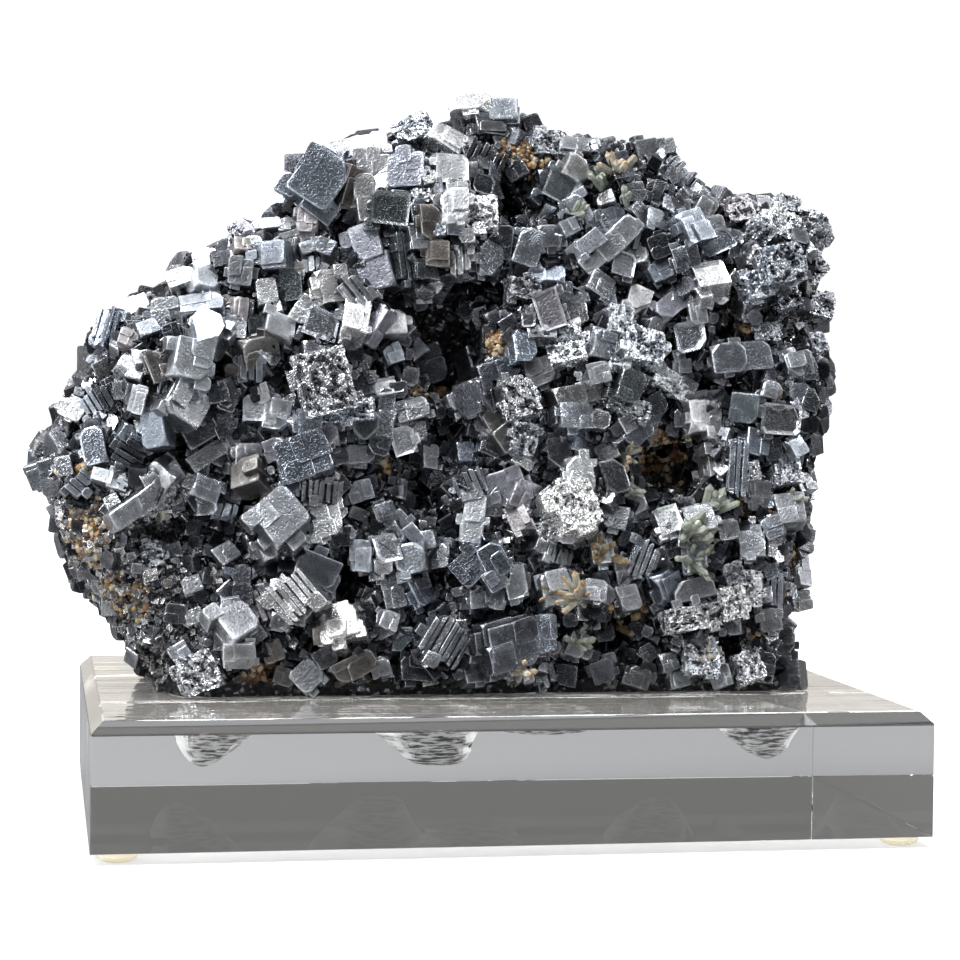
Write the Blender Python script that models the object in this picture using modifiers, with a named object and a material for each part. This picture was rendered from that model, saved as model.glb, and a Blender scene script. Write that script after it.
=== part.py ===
"""Galena specimen standing on a clear display block with four bumper feet.

Metres, +Z up, front towards -Y. The origin is on the standing surface, at the centre of the object's plan.
Sizes in the tables are millimetres, angles are degrees.
"""

import math
import random
from dataclasses import dataclass

import bmesh
import bpy
from mathutils import Matrix, Vector, noise
from mathutils.bvhtree import BVHTree

MM = 0.001
COLLECTION_NAME = "galena_specimen_on_block"
CUTTERS_NAME = "cutters_and_guides"

# Display block: clear acrylic sheet stock, one inch thick
BLOCK_WIDTH = 169.0
BLOCK_DEPTH = 124.0
BLOCK_HEIGHT = 25.4
BLOCK_CENTRE_X = 6.4
BLOCK_CHAMFER = 2.5
BLOCK_CORNER_RADIUS = 3.0
BLOCK_CORNER_STEPS = 4

# Bumper feet
FOOT_DIAMETER = 7.9
FOOT_FLAT_DIAMETER = 5.0
FOOT_HEIGHT = 1.9
FOOT_INSET = 5.4
FOOT_STEPS = 16
# The rounded rim between a foot's top and its flat: shares of the radius and of the height
FOOT_RIM = ((1.0, 0.62), (0.93, 0.28))

CONTACT_GAP = 0.3
WELD = 0.01
BLOCK_BOTTOM = FOOT_HEIGHT + CONTACT_GAP
BLOCK_TOP = BLOCK_BOTTOM + BLOCK_HEIGHT
SEAT_HEIGHT = BLOCK_TOP + CONTACT_GAP

# Ground pockets in the block's top, and the low points of the specimen that stand in them:
# centre x, centre y, mouth radius, floor radius, depth
POCKETS = (
    (-53.0, -12.0, 8.5, 1.6, 13.5),
    (-11.0, -6.0, 13.0, 8.0, 13.8),
    (62.0, -10.0, 11.5, 1.8, 14.5),
)
POCKET_SIDES = 11
POCKET_ROUGHNESS = 0.12
POCKET_TIP_RADIUS = 0.5
CUTTER_RISE = 1.0
POINT_CLEARANCE = 0.9
POINT_ROOT = 5.0
SEAT_CUTTER = (400.0, 400.0, 60.0)

# Outline of the specimen seen from the front: x, z, clockwise from the lower left
OUTLINE = (
    (-63.0, 18.0), (-63.5, 30.0), (-69.5, 38.5), (-75.0, 46.5), (-79.5, 55.0), (-83.5, 63.5),
    (-86.5, 71.5), (-87.5, 73.8), (-85.5, 78.5), (-82.5, 85.0), (-77.5, 93.0), (-74.0, 99.5),
    (-74.5, 104.0), (-70.5, 106.5), (-64.0, 109.5), (-58.5, 113.5), (-55.0, 118.0), (-47.5, 119.5),
    (-44.5, 124.0), (-36.5, 125.0), (-32.0, 131.0), (-31.5, 139.0), (-24.5, 141.0), (-17.5, 144.0),
    (-12.0, 143.5), (-9.0, 147.0), (-1.5, 149.0), (3.5, 151.5), (10.5, 151.0), (14.5, 147.0),
    (22.0, 144.5), (30.0, 142.0), (35.0, 145.0), (40.0, 145.0), (46.0, 141.5), (50.5, 137.0),
    (57.0, 134.5), (66.0, 133.0), (75.0, 131.5), (79.5, 127.0), (80.5, 122.0), (79.5, 114.0),
    (81.0, 103.0), (82.0, 91.0), (79.5, 78.0), (77.5, 64.0), (76.0, 54.0), (74.0, 44.0),
    (73.5, 37.0), (75.0, 30.0), (74.5, 18.0),
)
# Where the front and back of the matrix lie, by height: z, front y, back y
MATRIX_DEPTHS = (
    (18.0, -27.0, 24.0), (45.0, -26.0, 23.0), (70.0, -24.0, 21.0),
    (100.0, -22.0, 17.0), (125.0, -18.0, 12.0), (155.0, -11.0, 6.0),
)
MATRIX_SLAB = 40.0
RIM_SHARE = 0.42
RIM_WIDTH = 15.0
LUMP_SPACING = 17.0
LUMP_HEIGHT = 2.6
KNOB_SPACING = 7.0
KNOB_HEIGHT = 1.5
MATRIX_VOXEL = 2.4
MATRIX_SHARE_KEPT = 0.05
NOISE_SEED = 7

# Hollows in the front of the matrix: x, z, half width, half height, depth
HOLLOWS = (
    (-3.0, 101.0, 8.0, 13.5, 17.0), (3.0, 112.5, 7.0, 4.0, 11.0), (45.5, 76.0, 8.5, 7.0, 13.0),
    (58.5, 110.0, 4.5, 9.0, 10.0), (55.5, 92.5, 6.5, 3.2, 9.0), (44.5, 101.0, 4.0, 4.0, 7.0),
    (-62.0, 61.0, 9.0, 5.5, 9.0), (-51.5, 95.5, 4.0, 5.0, 8.0), (-25.0, 51.5, 4.6, 6.5, 10.0),
    (-9.0, 69.5, 5.5, 6.0, 9.0), (11.5, 132.0, 6.5, 6.5, 8.0), (57.5, 38.5, 4.8, 4.6, 8.0),
    (-60.5, 77.0, 5.0, 4.5, 6.0), (-37.5, 94.0, 5.0, 6.0, 7.0), (-3.0, 81.0, 5.0, 6.0, 7.0),
    (35.0, 40.5, 6.5, 6.0, 8.0), (-43.0, 68.5, 4.0, 4.5, 6.0), (-25.5, 124.0, 3.0, 7.0, 6.0),
    (25.0, 82.0, 3.0, 4.0, 4.0), (16.5, 89.0, 3.5, 6.0, 5.0), (-12.0, 109.0, 3.5, 5.0, 6.0),
)
# Swells of the front, which carry the clusters of crystals: x, z, half width, half height, rise
SWELLS = (
    (-5.0, 128.0, 14.0, 13.0, 5.0), (-31.0, 133.0, 9.0, 8.0, 3.0), (-60.0, 95.0, 15.0, 14.0, 4.0),
    (-30.0, 90.0, 9.0, 13.0, 4.0), (-36.0, 75.0, 10.0, 9.0, 4.0), (-64.0, 70.0, 11.0, 8.0, 3.0),
    (9.0, 84.0, 9.0, 9.0, 3.5), (15.0, 103.0, 8.0, 10.0, 3.0), (30.0, 90.0, 14.0, 10.0, 4.0),
    (33.0, 104.0, 10.0, 7.0, 2.5), (69.0, 118.0, 11.0, 11.0, 4.5), (52.0, 112.0, 5.0, 9.0, 3.5),
    (57.5, 76.0, 7.0, 10.0, 4.5), (71.0, 87.0, 9.0, 9.0, 2.5), (50.0, 61.0, 9.0, 8.0, 4.5),
    (-38.0, 63.0, 8.0, 8.0, 4.5), (-34.0, 48.0, 8.0, 8.0, 4.0), (-48.0, 40.0, 8.0, 8.0, 3.5),
    (-23.0, 41.0, 7.0, 7.0, 4.0), (4.0, 54.0, 10.0, 8.0, 4.0), (-3.0, 38.0, 8.0, 7.0, 4.0),
    (11.0, 38.0, 9.0, 7.0, 4.5), (28.0, 48.0, 9.0, 7.0, 4.5), (24.0, 68.0, 8.0, 8.0, 3.0),
    (52.0, 43.0, 9.0, 7.0, 3.5), (70.0, 58.0, 8.0, 13.0, 2.5), (-12.0, 58.0, 8.0, 8.0, 2.5),
    (28.0, 122.0, 10.0, 9.0, 2.5), (31.0, 139.0, 10.0, 7.0, 2.5), (-46.0, 119.0, 10.0, 7.0, 2.5),
    (-22.0, 106.0, 7.0, 9.0, 3.0), (47.0, 122.0, 7.0, 8.0, 2.0),
)

# A crystal's centre is given on the plane y = READ_AT, as seen from the point EYE
EYE = Vector((-88.0, -540.0, 91.0))
READ_AT = -22.0
# A crystal read past the rim sits this share of its distance from the eye nearer than the plane
PAST_RIM = 0.025
CUT_SMALLEST = 7.0

CUBE, SLAB, BAR, STACK = "cube", "slab", "bar", "stack"
# Depth as a share of the smaller of width and height, and the corner cut as a share of the smallest side
DEPTH_SHARE = {CUBE: 1.0, SLAB: 2.2, BAR: 1.3, STACK: 1.1}
CORNER_CUT = {CUBE: 0.26, SLAB: 0.22, BAR: 0.28, STACK: 0.15}
STACK_PLATES = 3
STACK_OVERLAP = 1.12
STACK_STEP = 0.10
PROUD_SHARE = 0.38
PROUD_LEAST = 0.9


@dataclass(frozen=True)
class Crystal:
    """One crystal of the front: its centre, its sides, and how it is turned."""

    x: float
    z: float
    width: float
    height: float
    roll: float = 0.0
    tilt: float = 0.0
    turn: float = 0.0
    habit: str = CUBE


# The crystals of the front that stand out, from left to right in each group
LEFT_SHOULDER = (
    Crystal(-86.6, 74.0, 6.5, 5.5, 20, 0, -20),
    Crystal(-76.5, 79.0, 5.0, 8.0, 10, 5, -20), Crystal(-73.0, 103.0, 7.0, 9.0, -15, 10, -25),
    Crystal(-72.5, 90.0, 8.0, 6.0, 30, 0, 10, STACK), Crystal(-70.5, 77.5, 9.0, 6.0, 60, 0, 0, STACK),
    Crystal(-64.0, 85.5, 5.0, 12.0, 8, 5, -25, BAR), Crystal(-59.5, 87.5, 9.0, 8.0, -25, 10, 20),
    Crystal(-58.0, 97.0, 8.0, 8.5, -10, 10, 15), Crystal(-66.5, 68.5, 17.0, 5.0, 33, 0, 10, BAR),
    Crystal(-62.0, 73.0, 8.0, 6.0, 48, 10, -10), Crystal(-55.5, 82.5, 7.5, 6.0, 30, 5, 20),
    Crystal(-54.5, 113.0, 6.0, 6.0, 0, 30, 0), Crystal(-54.5, 107.5, 9.0, 5.5, 0, 35, -5),
    Crystal(-53.5, 102.5, 7.0, 7.5, -35, 10, -15),
)
TOP_LEFT = (
    Crystal(-44.0, 99.5, 9.0, 6.0, 10, -5, 20), Crystal(-40.0, 118.7, 7.5, 6.0, 0, 5, -10),
    Crystal(-31.0, 134.5, 10.0, 11.5, -32, 8, -22), Crystal(-31.0, 129.0, 7.5, 5.0, -35, 8, -20),
    Crystal(-30.0, 104.5, 7.0, 6.0, -20, 0, 0), Crystal(-28.2, 112.0, 7.0, 7.0, 12, 15, -5),
    Crystal(-24.5, 140.0, 8.0, 4.5, 10, 15, 0, SLAB), Crystal(-23.5, 111.5, 5.0, 9.0, 40, 5, 20, STACK),
    Crystal(-23.2, 105.8, 5.5, 8.5, -12, 20, 0), Crystal(-20.0, 141.5, 8.0, 5.0, 0, 20, -15),
    Crystal(-19.0, 137.5, 7.0, 6.0, 0, 5, -10),
)
CREST = (
    Crystal(-21.5, 131.0, 4.5, 9.0, 3, 0, 0, BAR), Crystal(-17.3, 135.0, 5.5, 7.0, 10, 15, -20),
    Crystal(-15.5, 129.0, 8.0, 7.0, -5, 5, 0), Crystal(-18.5, 118.7, 8.0, 13.0, 12, 8, -5, BAR),
    Crystal(-13.0, 119.0, 4.0, 11.0, 8, -5, 20, SLAB), Crystal(-12.3, 136.5, 8.0, 7.0, 0, 12, -5),
    Crystal(-5.0, 142.5, 8.0, 5.0, -35, 20, 0, SLAB), Crystal(-3.6, 137.3, 7.0, 6.5, 0, 10, 0),
    Crystal(-2.4, 129.5, 5.5, 7.0, 0, 8, 0), Crystal(-1.0, 120.0, 4.5, 9.0, 0, 5, 0),
    Crystal(1.0, 151.0, 9.0, 5.0, 0, 25, -10), Crystal(3.6, 128.0, 6.5, 7.5, 0, 10, 5),
    Crystal(4.8, 119.5, 5.5, 9.0, 0, 8, 0, BAR), Crystal(7.5, 150.5, 6.5, 6.5, -5, 12, 10, STACK),
    Crystal(4.0, 141.0, 9.0, 4.5, -25, 5, 0, STACK),
)
TOP_RIGHT = (
    Crystal(13.0, 121.5, 6.0, 8.0, -20, 5, 15), Crystal(15.5, 115.5, 11.5, 4.0, -8, 15, 0, BAR),
    Crystal(19.0, 134.2, 7.5, 7.5, -28, 3, 0), Crystal(18.2, 108.5, 5.5, 8.5, 15, 5, 0),
    Crystal(25.5, 122.0, 10.0, 4.0, 35, 10, 0, BAR), Crystal(31.2, 122.5, 14.5, 5.0, 42, 12, 0, BAR),
    Crystal(32.5, 139.0, 6.5, 8.0, 20, 15, 0), Crystal(44.5, 139.5, 9.0, 4.5, -45, 15, 20, SLAB),
    Crystal(45.0, 110.3, 9.5, 4.5, 40, 15, 0, BAR), Crystal(48.3, 126.0, 6.5, 7.5, 25, 10, 30),
    Crystal(54.5, 123.3, 8.0, 5.0, 25, 20, 0), Crystal(53.3, 115.0, 7.0, 6.5, 15, 25, 0),
    Crystal(54.8, 109.0, 5.5, 7.5, -20, 25, 0), Crystal(63.5, 114.5, 6.0, 6.0, 15, 15, 0),
    Crystal(68.5, 127.0, 7.0, 6.5, -15, 20, 0), Crystal(68.7, 119.0, 8.5, 8.0, 10, 15, 10),
    Crystal(75.5, 126.5, 6.5, 7.0, -35, 15, 20), Crystal(76.5, 110.5, 8.0, 5.0, -15, 20, 10),
    Crystal(75.0, 118.0, 7.0, 6.0, 45, 5, 15, STACK),
)
MIDDLE = (
    Crystal(-44.3, 73.0, 6.5, 6.5, 0, 20, 40), Crystal(-33.5, 76.5, 11.0, 9.0, 20, 12, -10),
    Crystal(-29.5, 93.0, 11.0, 13.0, 15, 5, 0), Crystal(-31.0, 70.5, 11.0, 4.5, -5, 5, 0, STACK),
    Crystal(-25.5, 87.0, 13.0, 4.5, 5, 5, 0, BAR), Crystal(-21.7, 94.0, 3.5, 12.0, 24, 5, 0, SLAB),
    Crystal(-16.5, 86.5, 4.0, 9.0, -8, 5, 0, BAR), Crystal(-15.5, 104.5, 6.0, 6.0, 0, 15, 0),
    Crystal(-10.0, 97.3, 11.0, 8.5, 21, -3, 0), Crystal(3.8, 89.5, 7.5, 8.0, 10, 5, 35),
    Crystal(6.8, 96.2, 8.0, 4.5, 17, 0, 0, BAR), Crystal(7.5, 83.3, 5.5, 9.0, 33, 5, 0, BAR),
    Crystal(12.0, 89.0, 6.5, 8.0, 15, 10, 0), Crystal(9.5, 72.0, 8.5, 6.0, 20, 10, -10),
    Crystal(2.0, 72.5, 7.0, 6.0, 25, 0, 0, STACK), Crystal(22.0, 100.5, 8.0, 8.5, 10, 10, 0),
    Crystal(25.0, 91.0, 11.5, 5.0, 12, 15, 0, BAR), Crystal(23.5, 86.0, 8.0, 5.5, 5, 10, 0),
    Crystal(25.5, 81.0, 9.5, 6.0, -15, 0, 15), Crystal(24.5, 74.0, 6.0, 7.0, 0, 20, 0),
    Crystal(32.0, 73.0, 5.5, 7.5, 15, 0, 0), Crystal(38.0, 100.5, 8.5, 7.5, -10, 10, 0),
    Crystal(34.8, 93.0, 6.0, 7.0, -20, 5, 20), Crystal(35.7, 88.0, 9.0, 4.0, -25, 10, 0, BAR),
    Crystal(39.0, 84.5, 10.0, 4.0, 48, 8, 0, BAR), Crystal(44.7, 93.3, 10.0, 4.5, -28, 15, 0, BAR),
    Crystal(49.0, 103.0, 6.5, 6.5, 10, 10, 0), Crystal(50.5, 86.0, 5.5, 7.0, 5, 10, 0),
    Crystal(60.0, 99.0, 12.0, 6.5, 8, 10, 0), Crystal(54.5, 77.5, 4.5, 11.0, 3, 5, 0, STACK),
    Crystal(59.5, 75.5, 4.5, 13.0, -3, 5, 0, STACK), Crystal(61.5, 89.0, 6.0, 6.5, -5, -5, 0),
    Crystal(69.0, 85.5, 8.5, 6.5, -5, 5, 0), Crystal(70.0, 75.0, 6.0, 7.0, 10, 5, 15),
)
LOWER = (
    Crystal(-54.0, 31.8, 8.0, 8.0, 20, 8, -10), Crystal(-47.7, 41.8, 7.5, 7.5, 40, 12, 10),
    Crystal(-45.8, 50.0, 4.5, 8.0, 0, 5, -10, BAR), Crystal(-41.5, 47.0, 4.5, 9.0, 20, 5, 0, STACK),
    Crystal(-38.5, 63.5, 9.5, 9.5, 42, 8, 10), Crystal(-34.5, 48.5, 9.5, 9.0, 40, 12, 0, STACK),
    Crystal(-31.0, 54.0, 9.0, 6.0, -25, 0, 15), Crystal(-28.5, 63.5, 6.0, 6.5, 10, 20, 0),
    Crystal(-24.3, 42.0, 7.0, 7.0, 5, 15, -25), Crystal(-22.3, 33.0, 9.0, 4.5, 27, 8, 0, SLAB),
    Crystal(-10.3, 56.0, 6.5, 6.5, 10, 5, 0), Crystal(-9.7, 49.0, 6.0, 6.5, 25, 0, 20),
    Crystal(-3.5, 38.7, 9.5, 9.0, -30, 5, 0, STACK), Crystal(1.7, 53.5, 6.0, 6.5, 40, 5, 0),
    Crystal(2.7, 64.0, 5.0, 10.0, -10, 10, 0, BAR), Crystal(7.2, 68.5, 4.0, 9.0, -40, 10, 0, BAR),
    Crystal(6.7, 55.5, 5.5, 7.0, 30, 5, 0), Crystal(9.3, 37.8, 12.0, 9.5, 12, -5, 10),
    Crystal(12.7, 69.8, 7.0, 5.5, -20, 5, 10), Crystal(17.3, 39.5, 4.5, 8.0, 5, -5, 0, SLAB),
    Crystal(19.0, 57.3, 10.0, 4.5, -22, 10, 0, STACK), Crystal(19.5, 49.0, 6.5, 7.0, 15, 15, 0),
    Crystal(23.5, 66.5, 9.0, 10.0, 20, 12, 0), Crystal(24.5, 38.0, 5.5, 8.0, -20, 12, 0),
    Crystal(28.5, 48.5, 7.5, 7.5, -10, 15, 0), Crystal(30.0, 57.5, 6.5, 8.5, 5, 10, 0),
    Crystal(39.0, 55.5, 9.0, 9.0, -20, 10, 0), Crystal(43.5, 50.5, 6.0, 6.5, 20, -8, 10),
    Crystal(50.5, 49.0, 9.0, 4.5, 15, 15, 0, BAR), Crystal(51.0, 43.3, 14.5, 5.0, 10, 10, 0, BAR),
    Crystal(52.0, 64.0, 9.0, 9.0, 10, 12, 0), Crystal(50.5, 56.0, 8.0, 6.5, 5, 10, 0),
    Crystal(52.0, 34.8, 7.5, 8.0, 0, 5, 0), Crystal(58.5, 46.5, 5.5, 7.0, 10, 5, 0),
    Crystal(63.0, 50.0, 5.5, 7.5, 0, 5, 0), Crystal(68.5, 49.0, 4.5, 8.0, 0, 5, 0, SLAB),
    Crystal(71.5, 66.0, 6.0, 7.0, 5, 10, 15), Crystal(73.0, 53.5, 5.0, 8.0, 0, 10, 15),
    Crystal(72.0, 30.8, 7.0, 6.5, 0, 0, -25),
)
FRONT_CRYSTALS = LEFT_SHOULDER + TOP_LEFT + CREST + TOP_RIGHT + MIDDLE + LOWER

# Crystals of the sides and back, spread by a fixed seed. Each place is where a ray meets the rock on its way
# to a point of the upright plane y = 0. The arc of the rays is measured from +X towards +Y
SHELL_SEED = 41
SHELL_TRIES = 400
SHELL_ARC = (20.0, 160.0)
SHELL_WIDTHS = (-55.0, 55.0)
SHELL_HEIGHTS = (30.0, 130.0)
SHELL_RISES = (-0.3, 0.9)
SHELL_RAY = 200.0
SHELL_LOWEST = 34.0
SHELL_SPACING = 14.5
SHELL_LEAST = 7.0
SHELL_MOST = 12.0
SHELL_FLATTEST = 0.6
SHELL_TURN = 40.0

# Colour, roughness and metallic value, and transmission where the piece is clear
GALENA_LOOK = ((0.20, 0.21, 0.23, 1.0), 0.38, 0.85, 0.0)
ACRYLIC_LOOK = ((0.93, 0.96, 0.98, 1.0), 0.04, 0.0, 1.0)
BUMPER_LOOK = ((0.90, 0.86, 0.66, 1.0), 0.22, 0.0, 0.9)


def clear_scene():
    """Removes every object of the startup scene."""
    for obj in list(bpy.data.objects):
        bpy.data.objects.remove(obj, do_unlink=True)


def new_collection(name):
    """A collection of this name, linked to the scene."""
    made = bpy.data.collections.new(name)
    bpy.context.scene.collection.children.link(made)
    return made


def make_material(name, look):
    """A Principled material from a colour, a roughness, a metallic value and a transmission."""
    colour, roughness, metallic, transmission = look
    material = bpy.data.materials.new(name)
    material.use_nodes = True
    shader = material.node_tree.nodes["Principled BSDF"]
    shader.inputs["Base Color"].default_value = colour
    shader.inputs["Roughness"].default_value = roughness
    shader.inputs["Metallic"].default_value = metallic
    shader.inputs["Transmission Weight"].default_value = transmission
    return material


def object_from_bmesh(name, bm, collection, material=None):
    """Turns a bmesh into an object of this name, and frees the bmesh."""
    bmesh.ops.recalc_face_normals(bm, faces=bm.faces)
    mesh = bpy.data.meshes.new(name)
    bm.to_mesh(mesh)
    bm.free()
    obj = bpy.data.objects.new(name, mesh)
    collection.objects.link(obj)
    if material:
        mesh.materials.append(material)
    return obj


def as_helper(obj):
    """Marks an object as a cutter or guide that isn't part of the model."""
    obj.hide_render = True
    obj.display_type = "WIRE"
    return obj


def applied(obj):
    """Replaces an object's mesh by its evaluated one and drops its modifiers."""
    graph = bpy.context.evaluated_depsgraph_get()
    mesh = bpy.data.meshes.new_from_object(obj.evaluated_get(graph))
    obj.modifiers.clear()
    obj.data = mesh
    return obj


def boolean(obj, other, operation):
    """Adds a Boolean with the exact solver and applies it. The other may be an object or a collection."""
    modifier = obj.modifiers.new(operation.lower(), "BOOLEAN")
    modifier.operation = operation
    modifier.solver = "EXACT"
    if isinstance(other, bpy.types.Collection):
        modifier.operand_type = "COLLECTION"
        modifier.collection = other
    else:
        modifier.object = other
    return applied(obj)


def keep_largest(obj):
    """Drops every shell of a mesh but its largest, which fills the sealed hollows that a union can leave."""
    bm = bmesh.new()
    bm.from_mesh(obj.data)
    unseen = set(bm.verts)
    shells = []
    while unseen:
        shell = [unseen.pop()]
        for vertex in shell:
            near = {edge.other_vert(vertex) for edge in vertex.link_edges} & unseen
            unseen -= near
            shell.extend(near)
        shells.append(shell)
    shells.sort(key=len)
    for shell in shells[:-1]:
        bmesh.ops.delete(bm, geom=shell, context="VERTS")
    bm.to_mesh(obj.data)
    bm.free()


def between(table, height, column):
    """Reads a column of a table of heights, straight between its rows."""
    if height <= table[0][0]:
        return table[0][column]
    for low, high in zip(table, table[1:]):
        if height <= high[0]:
            share = (height - low[0]) / (high[0] - low[0])
            return low[column] + share * (high[column] - low[column])
    return table[-1][column]


def distance_inside(x, z):
    """How far a point lies inside the outline, in millimetres. It is 0 outside."""
    inside = False
    nearest = math.inf
    for (x0, z0), (x1, z1) in zip(OUTLINE, OUTLINE[1:] + OUTLINE[:1]):
        if (z0 > z) != (z1 > z) and x < x0 + (z - z0) / (z1 - z0) * (x1 - x0):
            inside = not inside
        side = (x1 - x0) ** 2 + (z1 - z0) ** 2
        along = max(0.0, min(1.0, ((x - x0) * (x1 - x0) + (z - z0) * (z1 - z0)) / side))
        nearest = min(nearest, math.hypot(x - x0 - along * (x1 - x0), z - z0 - along * (z1 - z0)))
    return nearest if inside else 0.0


def strongest(features, x, z):
    """The largest rise or depth that these round features give a point."""
    largest = 0.0
    for centre_x, centre_z, half_width, half_height, amount in features:
        away = ((x - centre_x) / half_width) ** 2 + ((z - centre_z) / half_height) ** 2
        if away < 1.0:
            largest = max(largest, amount * math.sqrt(1.0 - away))
    return largest


def rim_swell(x, z):
    """From RIM_SHARE at the outline to 1 well inside it."""
    share = min(1.0, distance_inside(x, z) / RIM_WIDTH)
    return RIM_SHARE + (1.0 - RIM_SHARE) * math.sqrt(share * (2.0 - share))


def middle_depth(z):
    """Y of the plane midway between the front and the back."""
    return 0.5 * (between(MATRIX_DEPTHS, z, 1) + between(MATRIX_DEPTHS, z, 2))


def front_depth(x, z):
    """Y of the matrix's front face."""
    middle = middle_depth(z)
    relief = strongest(HOLLOWS, x, z) - strongest(SWELLS, x, z)
    return middle + (between(MATRIX_DEPTHS, z, 1) - middle) * rim_swell(x, z) + relief


def back_depth(x, z):
    """Y of the matrix's back face."""
    middle = middle_depth(z)
    return middle + (between(MATRIX_DEPTHS, z, 2) - middle) * rim_swell(x, z)


def lumps(place):
    """A vector that roughens a point of the matrix, in millimetres."""
    broad = noise.noise_vector(place / LUMP_SPACING) * LUMP_HEIGHT
    return broad + noise.noise_vector(place / KNOB_SPACING) * KNOB_HEIGHT


def voxel_remesh(obj):
    """Gives a closed mesh even quads."""
    remesh = obj.modifiers.new("even", "REMESH")
    remesh.mode = "VOXEL"
    remesh.voxel_size = MATRIX_VOXEL * MM
    applied(obj)


def build_matrix(cutters):
    """The rock that carries the crystals: its outline extruded, swelled front and back, and roughened."""
    noise.seed_set(NOISE_SEED)
    curve = bpy.data.curves.new("matrix_outline", "CURVE")
    curve.dimensions = "2D"
    curve.fill_mode = "BOTH"
    curve.extrude = 0.5 * MATRIX_SLAB * MM
    spline = curve.splines.new("POLY")
    spline.points.add(len(OUTLINE) - 1)
    spline.use_cyclic_u = True
    for point, (x, z) in zip(spline.points, OUTLINE):
        point.co = (x * MM, z * MM, 0.0, 1.0)
    guide = bpy.data.objects.new("matrix_outline", curve)
    guide.rotation_euler = (math.radians(90.0), 0.0, 0.0)
    cutters.objects.link(guide)
    bpy.context.view_layer.update()
    graph = bpy.context.evaluated_depsgraph_get()
    mesh = bpy.data.meshes.new_from_object(guide.evaluated_get(graph))
    bm = bmesh.new()
    bm.from_mesh(mesh)
    bmesh.ops.transform(bm, matrix=guide.matrix_world, verts=bm.verts)
    bmesh.ops.remove_doubles(bm, verts=bm.verts, dist=WELD * MM)
    bpy.data.objects.remove(guide, do_unlink=True)
    matrix = object_from_bmesh("matrix", bm, cutters)
    voxel_remesh(matrix)
    for vertex in matrix.data.vertices:
        x, y, z = vertex.co / MM
        # Each half of the slab swells to its own face
        share = max(-1.0, min(1.0, y / (0.5 * MATRIX_SLAB)))
        face = front_depth(x, z) if share < 0.0 else back_depth(x, z)
        place = Vector((x, middle_depth(z) + abs(share) * (face - middle_depth(z)), z))
        vertex.co = (place + lumps(place)) * MM
    voxel_remesh(matrix)
    decimate = matrix.modifiers.new("fewer", "DECIMATE")
    decimate.ratio = MATRIX_SHARE_KEPT
    return applied(matrix)


def seen_on(tree, crystal):
    """Where a crystal of the front is seen on the matrix, or just past its rim, in millimetres."""
    read = Vector((crystal.x, READ_AT, crystal.z))
    place = tree.ray_cast(EYE * MM, (read - EYE).normalized())[0]
    return place / MM if place else read.lerp(EYE, -PAST_RIM)


def turned(crystal):
    """The rotation of a crystal: its roll seen from the front, its tilt up and its turn about the upright."""
    roll = Matrix.Rotation(math.radians(-crystal.roll), 4, "Y")
    tilt = Matrix.Rotation(math.radians(-crystal.tilt), 4, "X")
    return roll @ tilt @ Matrix.Rotation(math.radians(crystal.turn), 4, "Z")


def box_object(name, placed, sides, cut, collection):
    """A box with its front corners cut off, sides in millimetres, placed by a matrix in millimetres."""
    bm = bmesh.new()
    sized = Matrix.Scale(MM, 4) @ placed @ Matrix.Diagonal((*sides, 1.0))
    bmesh.ops.create_cube(bm, size=1.0, matrix=sized)
    if cut:
        middle = sized.translation
        outward = sized.to_3x3() @ Vector((0.0, -1.0, 0.0))
        front = [vertex for vertex in bm.verts if (vertex.co - middle).dot(outward) > 0.0]
        bmesh.ops.bevel(bm, geom=front, offset=cut * MM, segments=1, affect="VERTICES")
    return as_helper(object_from_bmesh(name, bm, collection))


def make_crystal(name, crystal, facing, collection):
    """Makes one crystal, its front a little proud of its facing. A stack is parallel plates."""
    smaller = min(crystal.width, crystal.height)
    depth = smaller * DEPTH_SHARE[crystal.habit]
    sides = Vector((crystal.width, depth, crystal.height))
    cut = CORNER_CUT[crystal.habit] * min(sides) if smaller >= CUT_SMALLEST else 0.0
    sunk = 0.5 * depth - PROUD_LEAST - PROUD_SHARE * smaller
    placed = facing @ Matrix.Translation((0.0, sunk, 0.0)) @ turned(crystal)
    if crystal.habit != STACK:
        box_object(name, placed, sides, cut, collection)
        return
    pitch = crystal.width / STACK_PLATES
    for index in range(STACK_PLATES):
        across = (index - 0.5 * (STACK_PLATES - 1)) * pitch
        back = STACK_STEP * depth * ((index * 2) % STACK_PLATES)
        shorter = crystal.height * (1.0 - STACK_STEP * ((index + 1) % STACK_PLATES))
        plate = Vector((pitch * STACK_OVERLAP, depth, shorter))
        shifted = placed @ Matrix.Translation((across, back, 0.0))
        box_object(f"{name}_{index}", shifted, plate, 0.0, collection)


def shell_facings(tree):
    """Places spread over the sides and back of the matrix, each a matrix whose -Y points out of the rock."""
    chance = random.Random(SHELL_SEED)
    facings = []
    for _ in range(SHELL_TRIES):
        around = math.radians(chance.uniform(*SHELL_ARC))
        target = Vector((chance.uniform(*SHELL_WIDTHS), 0.0, chance.uniform(*SHELL_HEIGHTS)))
        outward = Vector((math.cos(around), math.sin(around), chance.uniform(*SHELL_RISES))).normalized()
        place = tree.ray_cast((target + outward * SHELL_RAY) * MM, -outward)[0]
        if not place or place.z < SHELL_LOWEST * MM:
            continue
        place /= MM
        if all((place - facing.translation).length > SHELL_SPACING for facing in facings):
            turn = (-outward).to_track_quat("Y", "Z").to_matrix().to_4x4()
            facings.append(Matrix.Translation(place) @ turn)
    return facings


def shell_crystal(chance):
    """A crystal of the sides and back, with a size and a turn by chance."""
    size = chance.uniform(SHELL_LEAST, SHELL_MOST)
    turns = (chance.uniform(-SHELL_TURN, SHELL_TURN) for _ in range(3))
    return Crystal(0.0, 0.0, size, size * chance.uniform(SHELL_FLATTEST, 1.0), *turns)


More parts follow.
